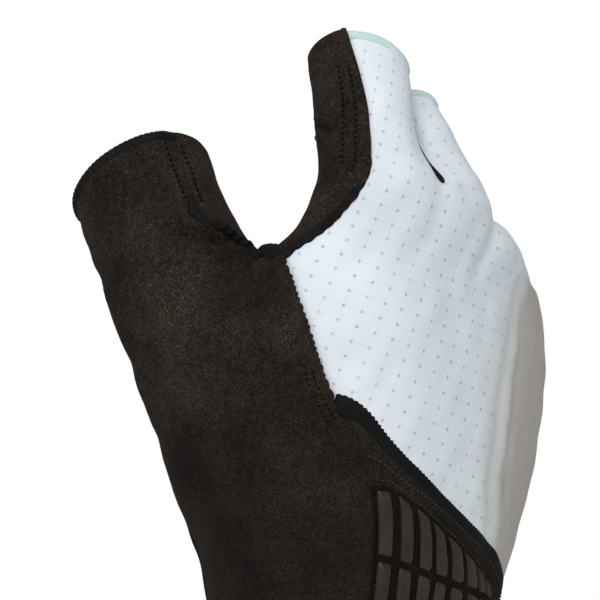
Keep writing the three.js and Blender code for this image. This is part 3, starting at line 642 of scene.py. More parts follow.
def lay_flat(panel):
    chosen = np.flatnonzero(panel_of == PANELS.index(panel))
    used, local = np.unique(faces[chosen], return_inverse=True)
    mesh = bpy.data.meshes.new("flat")
    mesh.from_pydata(points[used].tolist(), [], local.reshape(-1, 4).tolist())
    mesh.uv_layers.new(name="flat")
    piece = bpy.data.objects.new("flat", mesh)
    bpy.context.scene.collection.objects.link(piece)
    bpy.context.view_layer.objects.active = piece
    piece.select_set(True)
    bpy.ops.object.mode_set(mode="EDIT")
    bpy.ops.mesh.select_all(action="SELECT")
    bpy.ops.uv.unwrap(method="CONFORMAL", margin=0.0)
    bpy.ops.object.mode_set(mode="OBJECT")
    flat = np.zeros(len(mesh.loops) * 2, np.float32)
    mesh.uv_layers["flat"].data.foreach_get("uv", flat)
    bpy.data.objects.remove(piece)
    bpy.data.meshes.remove(mesh)
    flat = flat.reshape(-1, 4, 2).astype(float)
    p = points[faces[chosen]]
    real = np.linalg.norm(p - np.roll(p, -1, axis=1), axis=-1)
    drawn = np.linalg.norm(flat - np.roll(flat, -1, axis=1), axis=-1)
    return chosen, flat * np.median(real / drawn)


def at_place(chosen, flat, u, v):
    on_hand = patch_of[chosen] == PATCHES.index("hand")
    away = np.abs(uvs[chosen] - np.array([u, v])).sum(axis=-1) + np.where(on_hand, 0, 99)[:, None]
    return flat.reshape(-1, 2)[np.argmin(away)]


back_faces, flat = lay_flat("back_panel")
start, end = (at_place(back_faces, flat, u, v) for u, v in ROW_THROUGH)
row_line = unit(end - start)
column_line = np.array([-row_line[1], row_line[0]])
cloth = np.zeros((len(faces), 4, 2))
cloth[back_faces, :, 0] = (flat - start) @ row_line / COLUMN_PITCH
cloth[back_faces, :, 1] = (flat - start) @ column_line / ROW_PITCH

# Columns past the crease, where the cloth is plain, and painted darker and warmer as shade of the side that
# turns from the light
place = uvs.copy()
for number, name in enumerate(PATCHES):
    chosen = patch_of == number
    column, row = uvs[chosen][..., 0], uvs[chosen][..., 1]
    if name in FINGER_NAMES:
        column = column + 2 * FINGER_NAMES.index(name)
    place[chosen, :, 0] = column - np.interp(row, *np.array(CREASE).T)


# Materials
MIX_SHARE, MIX_FIRST, MIX_SECOND, MIX_RESULT = 0, 6, 7, 2  # sockets of the node that mixes colours


class Graph:
    def __init__(self, name):
        self.material = bpy.data.materials.new(name)
        self.material.use_nodes = True
        self.tree = self.material.node_tree
        self.tree.nodes.clear()

    def node(self, kind, inputs=None, **settings):
        made = self.tree.nodes.new(kind)
        for key, value in settings.items():
            setattr(made, key, value)
        for key, value in (inputs or {}).items():
            if isinstance(value, bpy.types.NodeSocket):
                self.tree.links.new(value, made.inputs[key])
            else:
                made.inputs[key].default_value = value
        return made

    def math(self, operation, a, b=0.0):
        return self.node("ShaderNodeMath", {0: a, 1: b}, operation=operation).outputs[0]

    def plus(self, a, b):
        return self.math("ADD", a, b)

    def times(self, a, b):
        return self.math("MULTIPLY", a, b)

    def fade(self, value, start, end, first=1.0, last=0.0):
        """Goes from the first number to the last while a value goes from start to end"""
        inputs = {"Value": value, "From Min": start, "From Max": end, "To Min": first, "To Max": last}
        return self.node("ShaderNodeMapRange", inputs).outputs[0]

    def place(self):
        return self.node("ShaderNodeTexCoord").outputs["Object"]

    def noise(self, waves, detail=2.0, roughness=0.5):
        inputs = {"Vector": self.place(), "Scale": waves, "Detail": detail, "Roughness": roughness}
        return self.node("ShaderNodeTexNoise", inputs).outputs["Fac"]

    def ramp(self, value, *stops):
        made = self.node("ShaderNodeValToRGB", {"Fac": value})
        elements = made.color_ramp.elements
        while len(elements) < len(stops):
            elements.new(0.5)
        for element, (at, color) in zip(elements, stops):
            element.position = at
            element.color = (*color, 1)
        return made.outputs["Color"]

    def mix(self, share, a, b, blend="MIX"):
        made = self.node("ShaderNodeMix", data_type="RGBA", blend_type=blend)
        for key, value in ((MIX_SHARE, share), (MIX_FIRST, a), (MIX_SECOND, b)):
            if isinstance(value, bpy.types.NodeSocket):
                self.tree.links.new(value, made.inputs[key])
            else:
                made.inputs[key].default_value = value if key == MIX_SHARE else (*value, 1)
        return made.outputs[MIX_RESULT]

    def bump(self, height, strength, distance):
        inputs = {"Height": height, "Strength": strength, "Distance": distance}
        return self.node("ShaderNodeBump", inputs).outputs["Normal"]

    def finish(self, **inputs):
        names = {key.replace("_", " "): value for key, value in inputs.items()}
        shader = self.node("ShaderNodeBsdfPrincipled", names)
        out = self.node("ShaderNodeOutputMaterial")
        self.tree.links.new(shader.outputs[0], out.inputs["Surface"])
        return self.material


def srgb(r, g, b):
    return tuple(((c / 255 + 0.055) / 1.055) ** 2.4 if c > 10 else c / 255 / 12.92 for c in (r, g, b))


# Suede: waves to the metre of its patches, spots and nap, and its painted shade darkening the lower part,
# with heights in metres
PATCH_WAVES, SPOT_WAVES, NAP_WAVES = 60.0, 700.0, 3300.0
NAP_TONES = ((0.36, (0.2, 0.2, 0.2)), (0.52, (0.9, 0.88, 0.87)), (0.68, (2.9, 2.7, 2.5)))
NAP_SHARE, NAP_RELIEF = 0.9, 0.0004
LOW_SHADE_START, LOW_SHADE_END, LOW_SHADE_SHARE, LOW_SHADE_TONE = 0.03, 0.075, 0.5, 0.4
SUEDE_SHEEN = (150, 130, 110)


def suede_material(name, dark, light):
    g = Graph(name)
    spots = g.noise(SPOT_WAVES, 3.0, 0.65)
    nap = g.noise(NAP_WAVES, roughness=0.7)
    tone = g.plus(g.times(g.noise(PATCH_WAVES), 0.55), g.times(spots, 0.45))
    color = g.ramp(tone, (0.38, srgb(*dark)), (0.62, srgb(*light)))
    color = g.mix(NAP_SHARE, color, g.ramp(nap, *NAP_TONES), "MULTIPLY")
    height = g.node("ShaderNodeSeparateXYZ", {0: g.place()}).outputs["Z"]
    # Painted shade: the suede is darkened toward the bottom, where the light falls off
    low = g.fade(height, LOW_SHADE_START, LOW_SHADE_END, LOW_SHADE_SHARE)
    color = g.mix(low, color, tuple(c * LOW_SHADE_TONE for c in srgb(*dark)))
    relief = g.plus(g.times(nap, 0.7), g.times(spots, 0.8))
    return g.finish(
        Base_Color=color, Roughness=0.95, Normal=g.bump(relief, 0.6, NAP_RELIEF), Specular_IOR_Level=0.12,
        Sheen_Weight=0.03, Sheen_Roughness=0.5, Sheen_Tint=(*srgb(*SUEDE_SHEEN), 1.0),
    )


# Pale cloth: waves to the metre of its tones, of the unevenness of the painted shade in its holes and
# grooves, and of its knit
SOFT_WAVES, UNEVEN_SHADE_WAVES, KNIT_WAVES = 45.0, 160.0, 2400.0
CLOTH_TONES = ((214, 223, 230), (226, 234, 239))
# Darker, warmer tones of the side past the crease: painted shade where the side turns from the light
SIDE_SHADE_TONES = ((172, 168, 161), (184, 180, 173))
KNIT_TONES = ((0.3, (0.93, 0.93, 0.93)), (0.7, (1.04, 1.04, 1.04)))
# Millimetres from the middle of a hole or line over which it fades out
HOLE_FADE, HOLE_RIM_FADE, LINE_FADE = (0.14, 0.4), (0.25, 0.85), (0.04, 0.26)
# Columns past the crease over which the holes end, the side's painted shade begins and the lines turn light
OPEN_FADE, SIDE_SHADE_FADE, LIGHT_FADE = (-0.35, -0.15), (-0.7, 0.3), (-2.6, -1.6)
SIDE_SHADE_UNEVEN = 0.5
UNEVEN_SHADE_FADE = (0.35, 0.62, 0.25, 1.0)  # span of the noise that makes the painted shade in holes and grooves uneven, and strength of the marks at its two ends
# Strength and colour of the light lines, and of the painted shade in the grooves, round the holes' rims and
# in the holes
LIGHT_LINE, GROOVE_SHADE = (0.45, (232, 238, 242)), (0.06, (150, 160, 170))
HOLE_RIM_SHADE, HOLE_SHADE = (0.06, (140, 150, 160)), (0.5, (104, 110, 118))
KNIT_SHARE, CLOTH_RELIEF = 0.6, 0.0003
KNIT_HEIGHT, HOLE_HEIGHT, GROOVE_HEIGHT = 0.25, -1.0, -0.12


def cloth_material():
    g = Graph("pale_perforated_cloth")
    holes_at, crease_at = (
        g.node("ShaderNodeSeparateXYZ", {0: g.node("ShaderNodeUVMap", uv_map=layer).outputs["UV"]})
        for layer in ("weave", "pattern")
    )
    past = crease_at.outputs["X"]
    offset = []
    for value, pitch in ((holes_at.outputs["X"], COLUMN_PITCH), (holes_at.outputs["Y"], ROW_PITCH)):
        away = g.math("SUBTRACT", g.math("FRACT", g.plus(value, 0.5)), 0.5)
        offset.append(g.times(away, pitch))
    far = g.math("SQRT", g.plus(g.math("POWER", offset[0], 2.0), g.math("POWER", offset[1], 2.0)))
    open_area = g.fade(past, *OPEN_FADE)
    lines = [g.times(g.fade(g.math("ABSOLUTE", value), *LINE_FADE), open_area) for value in offset]
    groove = g.math("MAXIMUM", *lines)
    hole = g.times(g.fade(far, *HOLE_FADE), open_area)
    rim = g.times(g.fade(far, *HOLE_RIM_FADE), open_area)
    light_line = g.times(lines[0], g.math("SUBTRACT", 1.0, g.fade(past, *LIGHT_FADE)))
    knit = g.noise(KNIT_WAVES, roughness=0.6)
    soft = g.noise(SOFT_WAVES)
    uneven_shade = g.fade(g.noise(UNEVEN_SHADE_WAVES), *UNEVEN_SHADE_FADE)
    base, side = (
        g.ramp(tone, (0.3, srgb(*dark)), (0.7, srgb(*light)))
        for tone, (dark, light) in ((soft, CLOTH_TONES), (knit, SIDE_SHADE_TONES))
    )
    # Painted shade: past the crease the cloth turns to the side's darker, warmer tones, with an uneven edge
    shade = g.plus(past, g.times(g.math("SUBTRACT", soft, 0.5), SIDE_SHADE_UNEVEN))
    base = g.mix(g.math("SUBTRACT", 1.0, g.fade(shade, *SIDE_SHADE_FADE)), base, side)
    # Marks over the cloth: light lines, then painted shade in the grooves, round the holes' rims and in the
    # holes, made uneven by a noise
    marks = (
        (light_line, LIGHT_LINE), (g.times(groove, uneven_shade), GROOVE_SHADE),
        (rim, HOLE_RIM_SHADE), (g.times(hole, uneven_shade), HOLE_SHADE),
    )
    for mark, (strength, color) in marks:
        base = g.mix(g.times(mark, strength), base, srgb(*color))
    base = g.mix(KNIT_SHARE, base, g.ramp(knit, *KNIT_TONES), "MULTIPLY")
    relief = g.plus(g.times(knit, KNIT_HEIGHT), g.times(hole, HOLE_HEIGHT))
    relief = g.plus(relief, g.times(groove, GROOVE_HEIGHT))
    return g.finish(
        Base_Color=base, Roughness=0.78, Normal=g.bump(relief, 0.5, CLOTH_RELIEF), Specular_IOR_Level=0.3,
        Sheen_Weight=0.05, Sheen_Roughness=0.4,
    )


# Threads and bands, and the satin bars
THREAD_SLOW_WAVES, THREAD_RELIEF = 140.0, 0.0003


def thread_material(name, dark, light, waves, roughness=0.75, strength=0.5):
    g = Graph(name)
    fine = g.noise(waves, 3.0, 0.6)
    tone = g.plus(g.times(fine, 0.6), g.times(g.noise(THREAD_SLOW_WAVES), 0.4))
    color = g.ramp(tone, (0.35, srgb(*dark)), (0.68, srgb(*light)))
    normal = g.bump(fine, strength, THREAD_RELIEF)
    return g.finish(Base_Color=color, Roughness=roughness, Normal=normal, Specular_IOR_Level=0.15)


BAR_WAVES, BAR_SLOW_WAVES, BAR_RELIEF = 1500.0, 160.0, 0.0002
BAR_TONES = ((27, 21, 15), (55, 43, 31))
BAR_SATIN = ((0.3, (0.5, 0.5, 0.5)), (0.7, (0.65, 0.65, 0.65)))


def bar_material():
    g = Graph("satin_bars")
    fine = g.noise(BAR_WAVES, 3.0, 0.6)
    slow = g.noise(BAR_SLOW_WAVES)
    tone = g.plus(g.times(fine, 0.5), g.times(slow, 0.5))
    color = g.ramp(tone, (0.35, srgb(*BAR_TONES[0])), (0.7, srgb(*BAR_TONES[1])))
    rough = g.ramp(slow, *BAR_SATIN)
    normal = g.bump(fine, 0.35, BAR_RELIEF)
    return g.finish(Base_Color=color, Roughness=rough, Normal=normal, Specular_IOR_Level=0.35)


suede = suede_material("brown_suede", (25, 21, 19), (49, 43, 38))
strip_suede = suede_material("strip_suede", (26, 24, 18), (46, 43, 33))
# Gussets near black: painted shade of the narrow slits between the fingers
gusset_painted_shade = suede_material("gusset_painted_shade", (17, 16, 18), (32, 31, 33))
# Ground between the raised bars near black: painted shade of the grooves between them
rib_groove_shade = suede_material("rib_ground", (12, 10, 9), (28, 24, 20))
cuff_cloth = suede_material("cuff_cloth", (24, 21, 20), (40, 36, 33))
pale = cloth_material()
edging = thread_material("dark_edging", (5, 5, 7), (19, 18, 20), 1400.0)
rope_thread = thread_material("dark_rope", (5, 5, 6), (24, 22, 21), 1800.0)
hem_thread = thread_material("dark_hem", (7, 7, 9), (24, 23, 27), 1800.0)
mint = thread_material("mint_edging", (178, 208, 207), (208, 231, 229), 1500.0, 0.7, 0.3)
stitch_thread = thread_material("dark_thread", (3, 3, 3), (10, 9, 8), 2200.0, 0.9)
brown_thread = thread_material("brown_thread", (40, 35, 28), (70, 61, 49), 2200.0, 0.8)
bars = bar_material()

PANEL_FINISH = {
    "back_panel": (pale, "pale_mesh_fabric", FABRIC),
    "thumb_panel": (suede, "brown_suede", SUEDE),
    "thumb_inner_panel": (suede, "brown_suede", SUEDE),
    "index_side_panel": (suede, "brown_suede", SUEDE),
    "palm_panel": (suede, "brown_suede", SUEDE),
    "index_middle_gusset": (gusset_painted_shade, "brown_suede", SUEDE),
    "middle_ring_gusset": (gusset_painted_shade, "brown_suede", SUEDE),
    "ring_little_gusset": (gusset_painted_shade, "brown_suede", SUEDE),
    "wrist_strip": (strip_suede, "brown_suede", SUEDE),
    "rib_panel": (rib_groove_shade, "ribbed_rubber", SUEDE),
    "cuff_band": (cuff_cloth, "dark_binding", SUEDE),
}


def place_mesh(name, verts, polygons, material, replaces=(), layers=None, sharp=60):
    mesh = bpy.data.meshes.new(name)
    mesh.from_pydata((np.asarray(verts) * MM).tolist(), [], polygons)
    for layer, values in (layers or {}).items():
        mesh.uv_layers.new(name=layer).data.foreach_set("uv", np.asarray(values, np.float32).ravel())
    mesh.materials.append(material)
    mesh.polygons.foreach_set("use_smooth", [True] * len(mesh.polygons))
    mesh.set_sharp_from_angle(angle=math.radians(sharp))
    mesh.update()
    piece = bpy.data.objects.new(name, mesh)
    bpy.context.scene.collection.objects.link(piece)
    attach(piece, "root")
    if replaces:
        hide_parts(*replaces)
    return piece


def grid_faces(rows, sides, closed, first=0):
    """Faces between rows of points that follow each other, each row with the same number of points"""
    made = []
    for low in range(first, first + (rows - 1) * sides, sides):
        high = low + sides
        for s in range(sides if closed else sides - 1):
            t = (s + 1) % sides
            made.append([low + s, low + t, high + t, high + s])
    return made


def panel_mesh(panel):
    """A panel as a wall, with its outer side, its inner side and its rim"""
    material, slot, thickness = PANEL_FINISH[panel]
    chosen = np.flatnonzero(panel_of == PANELS.index(panel))
    used, local = np.unique(faces[chosen], return_inverse=True)
    quads = local.reshape(-1, 4)
    outer = points[used].copy()
    out = normals[used]
    inner = outer - out * thickness
    _, first, count = np.unique(edge_codes(quads, len(used)), return_index=True, return_counts=True)
    rim = first[count == 1]
    start, end = quads.reshape(-1)[rim], np.roll(quads, -1, axis=1).reshape(-1)[rim]
    tree, teeth = LAPS.get(panel, (None, 0.0))
    if tree is not None:
        along_edge = unit(outer[end] - outer[start])
        away = {}
        for i, j, direction in zip(start, end, along_edge):
            if max(tree.find(Vector(outer[k]))[2] for k in (i, j)) > LAP_NEAR:
                continue
            for k in (i, j):
                away.setdefault(int(k), []).append(np.cross(direction, out[k]))
        for k, q in enumerate(outer.copy()):
            _, at, d = tree.find(Vector(q))
            if d > 3 * LAP_REACH:
                continue
            lift = (LAP_RISE + SEAM_DIP) * math.exp(-((d / LAP_REACH) ** 2))
            outer[k] += out[k] * lift
            inner[k] += out[k] * lift * LAP_INNER
            if k in away:
                push = unit(np.sum(away[k], axis=0)) * (LAP_OUT + teeth * (1 if at // 2 % 2 else -1))
                outer[k] += push
                inner[k] += push
    n = len(used)
    walls = np.stack([end, start, start + n, end + n], axis=-1)
    polygons = np.concatenate([quads, quads[:, ::-1] + n, walls])
    verts = np.concatenate([outer, inner])
    layers = {}
    for name, source in (("weave", cloth), ("pattern", place)):
        face = source[chosen]
        wall = face.reshape(-1, 2)[rim]
        layers[name] = np.concatenate([
            face.reshape(-1, 2), face[:, ::-1].reshape(-1, 2), np.repeat(wall, 4, axis=0),
        ])
    return place_mesh(panel, verts, polygons.tolist(), material, [panel], layers)


for panel in PANEL_FINISH:
    panel_mesh(panel)


# Bands and ropes: a profile carried along a path, in offsets to the left and out
def sweep(name, path, profile, material, replaces=()):
    p, n = path
    left = unit(np.cross(n, unit(np.gradient(p, axis=0))))
    walked = walk(p)
    rings = []
    for k in range(len(p)):
        shape = np.array(profile(walked[k], walked[-1]))
        rings.append(p[k] + left[k] * shape[:, :1] + n[k] * shape[:, 1:])
    count, sides = len(rings), len(rings[0])
    polygons = grid_faces(count, sides, True)
    polygons.append(list(range(sides))[::-1])
    polygons.append(list(range((count - 1) * sides, count * sides)))
    return place_mesh(name, np.concatenate(rings), polygons, material, replaces, sharp=70)


def turns_of(sides):
    return np.arange(sides) * 2 * math.pi / sides


def ellipse(half_wide, half_high, middle, height):
    turns = turns_of(14)
    return np.stack([middle + half_wide * np.cos(turns), height + half_high * np.sin(turns)], axis=-1)


def ends_in(at, length, over, least):
    """Goes from about the least share to 1 over the path's first stretch, and back at its end"""
    return least + (1 - least) * math.sqrt(max(0.02, min(1.0, at / over, (length - at) / over)))


# Twisted rope along the thumb's crotch, which it bridges between the thumb and the index finger
ROPE_BRIDGE, BRIDGE_REACH, BRIDGE_SWELL = 0.6, 4.5, 0.35
ROPE_RISE, ROPE_FLAT, CORD_RISE, CORD_FLAT = 0.25, 0.9, 0.1, 0.8
ROPE_TWIST, CORD_TWIST = 2.6, 2.2  # length of half a turn of the strands
ROPE_STRAND, CORD_STRAND = 0.12, 0.15  # how far the strands stand out, in shares of the radius
ROPE_LUMPS = [(0.04, 1.9, 0), (0.04, 0.83, 1)]  # share of the radius, waves and phase
ROPE_ENDS, CORD_ENDS = (3.0, 0.45), (4.0, 0.3)  # length of the tapered ends, and share of the radius there
ROPE_THINS_FROM, ROPE_END = 0.45, 0.45  # share of the length where it starts to thin, and of the radius left
bridge_at = walk(route("hand", [(18.5, CROTCH_ROW), (20.0, CROTCH_ROW)])[0])[-1]


def rope_profile(at, length):
    turns = turns_of(16)
    twist = np.cos(2 * (turns - at / ROPE_TWIST * math.pi))
    lumps = sum(size * math.sin(at * waves + phase) for size, waves, phase in ROPE_LUMPS)
    thin = 1 - (1 - ROPE_END) * max(0.0, at / length - ROPE_THINS_FROM) / (1 - ROPE_THINS_FROM)
    over = math.exp(-(((at - bridge_at) / BRIDGE_REACH) ** 2))
    radius = ROPE_WIDTH / 2 * thin * ends_in(at, length, *ROPE_ENDS) * (1 + BRIDGE_SWELL * over)
    radius = radius * (1 + ROPE_STRAND * twist + lumps)
    rise = ROPE_RISE + ROPE_BRIDGE * over
    return np.stack([radius * np.cos(turns), radius * ROPE_FLAT * np.sin(turns) + rise], axis=-1)


crotch_path = join_routes(
    route("hand", [(18.5, CROTCH_ROW), (20.97, CROTCH_ROW)]),
    route("hand", [(0, CROTCH_ROW + 0.03), (0, TOP_ROW - 0.05)]),
    route("index", [(0, TOP_ROW + 0.05), (0, TOP_ROW + 0.8)]),
)
crotch_path = evenly(*crotch_path, 0.3)
sweep("crotch_rope", crotch_path, rope_profile, rope_thread, ["crotch_binding"])

# The thumb's seam turns into a second cord that joins the first at the crotch
cord_line = [
    (3.92, 2.9), (3.8, 2.54), (4.03, 2.28), (4.41, 2.03), (4.66, 1.78), (4.62, 1.2), (4.3, 0.5), (4.12, 0.1),
]
cord_path = join_routes(
    route("thumb", cord_line),
    route("hand", [(20.15, CROTCH_ROW - 0.05), (20.9, CROTCH_ROW - 0.1)]),
)
cord_path = evenly(*cord_path, 0.3)


def cord_profile(at, length):
    turns = turns_of(14)
    twist = np.cos(2 * (turns + at / CORD_TWIST * math.pi))
    radius = CORD_WIDTH / 2 * (1 + CORD_STRAND * twist) * ends_in(at, length, *CORD_ENDS)
    return np.stack([radius * np.cos(turns), radius * CORD_FLAT * np.sin(turns) + CORD_RISE], axis=-1)


sweep("seam_cord", cord_path, cord_profile, rope_thread)

# Hem round the outer side of the thumb's opening, sewn over with thread, and the fingers' bindings:
# length of a stitch, rise over the wall, reach past its edge, and how much each stitch widens and lifts it
HEM_STITCH, HEM_RISE, HEM_OVER, HEM_WIDENS, HEM_LIFTS = 1.2, 0.42, 0.25, 0.12, 0.1
TIP_STITCH, TIP_RISE, TIP_OVER, TIP_WIDENS, TIP_LIFTS = 0.8, 0.38, 0.2, 0.02, 0.03
TAB_HEIGHT, TAB_RISE, TAB_OVER, TAB_RAGGED, TAB_WAVES = 2.6, 0.5, 0.35, 0.08, 7.0


def hem_profile(at, length):
    ridge = abs(math.sin(math.pi * at / HEM_STITCH))
    wide = THUMB_HEM / 2 + HEM_WIDENS * ridge
    high = SUEDE / 2 + HEM_RISE + HEM_LIFTS * ridge
    return ellipse(wide, high, HEM_OVER - THUMB_HEM / 2, -SUEDE / 2)


def tab_profile(at, length):
    ragged = 1 + TAB_RAGGED * math.sin(at * TAB_WAVES)
    return ellipse(TAB_HEIGHT / 2 * ragged, SUEDE / 2 + TAB_RISE, TAB_OVER - TAB_HEIGHT / 2, -SUEDE / 2)


thumb_tip = len(THUMB_RINGS)
hem_path = join_routes(
    route("thumb", [(6.02, thumb_tip), (7.98, thumb_tip)], 0.2),
    route("thumb", [(0.02, thumb_tip), (3.98, thumb_tip)], 0.2),
)
hem_path = evenly(*hem_path, 0.2)
sweep("thumb_edge", hem_path, hem_profile, hem_thread, ["thumb_hem"])
tab_path = route("thumb", [(3.74, thumb_tip), (4.0, thumb_tip), (4.06, thumb_tip)], 0.15)
sweep("hem_tab", tab_path, tab_profile, hem_thread)


# Pale bindings of the fingers' openings
def tip_profile(at, length):
    ridge = math.cos(2 * math.pi * at / TIP_STITCH)
    wide = TIP_BINDING / 2 + TIP_WIDENS * ridge
    high = FABRIC / 2 + TIP_RISE + TIP_LIFTS * ridge
    return ellipse(wide, high, TIP_OVER - TIP_BINDING / 2, -FABRIC / 2)


for f, name in enumerate(FINGER_NAMES):
    path = route(name, [(0.03, TOP_ROW + 3), (3.97 if f == 3 else 1.97, TOP_ROW + 3)], 0.2)
    sweep(name + "_edge", path, tip_profile, mint, [name + "_tip_binding"])


# Dark edging over the wrist, toothed along the cloth, and folded and wider by the thumb, where its black
# stands in for the shade of the gap under the pale panel's edge
TOOTH_LENGTH, TOOTH_DEPTH, TOOTH_ROOT = 1.15, 0.36, 0.15
EDGING_RISE, EDGING_SINK = 0.75, 0.2
EDGING_FOLD_SHADE = dict(reach=6.5, width=3.8, rise=1.0, dip=1.6, starts_over=4)


def edging_profile(at, length):
    fold = math.exp(-((at / EDGING_FOLD_SHADE["reach"]) ** 2))
    tooth = abs(math.sin(math.pi * at / TOOTH_LENGTH))
    left = WRIST_BINDING / 2 - TOOTH_ROOT + TOOTH_DEPTH * tooth
    # The widened part is black binding put where the gap's shade is: partly the real binding, partly painted
    # shade
    right = WRIST_BINDING / 2 + EDGING_FOLD_SHADE["width"] * fold
    start = math.sin(min(1.0, at / EDGING_FOLD_SHADE["starts_over"]) * math.pi / 2)
    rise = EDGING_RISE + EDGING_FOLD_SHADE["rise"] * fold * start
    shape = []
    for turn in turns_of(18):
        c, d = math.cos(turn), math.sin(turn)
        across_it = c * (left if c > 0 else right)
        dip = EDGING_FOLD_SHADE["dip"] * fold * max(0.0, -c) ** 2 if d > 0 else 0.0
        shape.append([across_it, d * (rise if d > 0 else 1.0) - EDGING_SINK - dip])
    return shape


wrist_path = route("hand", [(0.02, 3), (9.98, 3)], 0.25)
sweep("wrist_edge", wrist_path, edging_profile, edging, ["wrist_binding"])


# Raised bars of the wrist panel
HALVINGS = 16


def rib_row_at(u, height):
    """The row of the pattern at which a column of the wrist panel reaches a height"""
    low, high = RIB_FOOT_ROW, RIB_ROW
    for _ in range(HALVINGS):
        middle = (low + high) / 2
        if sample("hand", u, middle)[0][0, 2] < height:
            low = middle
        else:
            high = middle
    return low


def rib_columns():
    slices = np.arange(0, BACK_COLUMNS, 0.05)
    p = np.array([sample("hand", u, rib_row_at(u, RIB_SPLIT))[0][0] for u in slices])
    walked = walk(p)
    found = []
    due = RIB_MARGIN
    while due < walked[-1]:
        found.append(float(np.interp(due, walked, slices)))
        due += RIB_WIDTH if len(found) % 2 else RIB_GROOVE
    return found


BAR_ROWS, BAR_SIDE = 14, 9  # steps along a bar, and points across it
BAR_SINK, BAR_LEAST = 0.15, 2.3  # its edges lie this deep in the cloth, and it is at least this high
BAR_END, BAR_END_ROWS = 0.25, 1.5  # share of the rise at its ends, and rows over which it gets there


def bar_points(left, right, foot_of, top_of):
    verts = []
    for i in range(BAR_ROWS + 1):
        share = i / BAR_ROWS
        end = min(1.0, min(share, 1 - share) * BAR_ROWS / BAR_END_ROWS + BAR_END)
        for k in range(BAR_SIDE):
            t = k / (BAR_SIDE - 1)
            u = left + (right - left) * t
            height = foot_of(u) + (top_of(u) - foot_of(u)) * share
            p, n = sample("hand", u, rib_row_at(u, height))
            crown = (1 - abs(2 * t - 1) ** 6) ** 0.5 * end
            verts.append(p[0] + n[0] * (RIB_RISE * crown - BAR_SINK))
    return verts


def all_bars():
    verts, polygons = [], []
    edges = rib_columns()

    def above(u):
        return RIB_SPLIT + RIB_ROW_GAP / 2 - RIB_SPLIT_FALL * u

    def below(u):
        return min(above(u) - RIB_ROW_GAP, top(u))

    def top(u):
        return sample("hand", u, RIB_ROW)[0][0, 2] - RIB_MARGIN

    def foot(u):
        return sample("hand", u, RIB_FOOT_ROW)[0][0, 2] + RIB_MARGIN

    for left, right in zip(edges[::2], edges[1::2]):
        rows = []
        if top(right) - above(right) > BAR_LEAST:
            rows.append((above, top))
        if below(right) - foot(right) > BAR_LEAST:
            rows.append((foot, below))
        if not rows:
            break
        for foot_of, top_of in rows:
            polygons.extend(grid_faces(BAR_ROWS + 1, BAR_SIDE, False, len(verts)))
            verts.extend(bar_points(left, right, foot_of, top_of))
    return verts, polygons


bar_verts, bar_polygons = all_bars()
place_mesh("raised_bars", bar_verts, bar_polygons, bars, sharp=80)


# Stitches, short rounded threads that dive into the cloth at both ends: thread, slot, pitch, length,
# radius and depth in the cloth
STITCHES = {
    "index_stitches": (stitch_thread, "brown_suede", 1.2, 0.62, 0.34, 0.05),
    "thumb_stitches": (stitch_thread, "brown_suede", 1.3, 0.95, 0.32, 0.05),
    "lap_stitches": (stitch_thread, "brown_suede", 1.25, 0.7, 0.24, 0.05),
    "strip_stitches": (brown_thread, "brown_suede", 1.3, 0.9, 0.24, 0.0),
    "strip_low_stitches": (brown_thread, "brown_suede", 1.3, 0.85, 0.2, 0.0),
    "rib_stitches": (stitch_thread, "ribbed_rubber", 1.45, 0.8, 0.28, 0.0),
    "palm_stitches": (stitch_thread, "brown_suede", 1.4, 0.95, 0.25, 0.12),
}
STITCH_SIDES, STITCH_RINGS = 6, 5


def stitch_rows(name, paths):
    material, slot, pitch, length, radius, sink = STITCHES[name]
    verts, polygons = [], []
    sides, rings = STITCH_SIDES, STITCH_RINGS
    for p, n in paths:
        walked = walk(p)
        for middle in np.arange(pitch, walked[-1] - pitch * 0.5, pitch):
            at = middle + np.linspace(-0.5, 0.5, rings) * length
            q = values_at(at, walked, p)
            m = unit(values_at(at, walked, n))
            left = unit(np.cross(m, unit(q[-1] - q[0])))
            polygons.extend(grid_faces(rings, sides, True, len(verts)))
            for r in range(rings):
                share = abs(2 * r / (rings - 1) - 1)
                thick = radius * math.sqrt(1.02 - share**2)
                lift = radius * 0.5 * (1 - share**2) - sink
                for turn in turns_of(sides):
                    side = left[r] * math.cos(turn) * thick
                    verts.append(q[r] + side + m[r] * (math.sin(turn) * thick + lift))
    return place_mesh(name, verts, polygons, material, sharp=80)


def over_lap(path, panel):
    """A path lifted onto a panel's lapped edge"""
    p, n = path
    away = np.array([LAPS[panel][0].find(Vector(q))[2] for q in p])
    return p + n * ((LAP_RISE + SEAM_DIP) * np.exp(-((away / LAP_REACH) ** 2)))[:, None], n


index_lines = [
    [(8.74, 10.45), (8.7, 9.6), (8.6, 8.6), (8.52, 8.1)],
    [(8.36, 10.55), (8.3, 9.9), (8.2, 9.2), (8.12, 8.4)],
]
index_rows = [over_lap(route("index", line), "index_side_panel") for line in index_lines]
stitch_rows("index_stitches", index_rows)
thumb_seam_back = route("thumb", [(6, 0.1), (6, thumb_tip - 0.1)])
thumb_rows = [
    route("thumb", [(3.8, 2.66), (3.78, 3.2), (3.78, thumb_tip - 0.12)]),
    route("thumb", [(4.1, 2.66), (4.15, 3.4), (4.1, thumb_tip - 0.12)]),
    *[beside(thumb_seam_back, offset) for offset in (1.2, -1.2)],
]
stitch_rows("thumb_stitches", thumb_rows)
lap_edge = route("hand", [(0, 2.7), (0, 3.7)])
lap_rows = [over_lap(beside(lap_edge, distance), "thumb_panel") for distance in (1.8, 3.4)]
stitch_rows("lap_stitches", lap_rows)
strip_line = route("hand", [(0.05, 2.3), (0.8, 2.25), (1.8, 2.42), (3.2, 2.72), (5.0, 2.78), (9.8, 2.7)])
stitch_rows("strip_stitches", [strip_line])
strip_low = route("hand", [(0.05, 2.06), (9.9, 2.06)])
stitch_rows("strip_low_stitches", [strip_low])
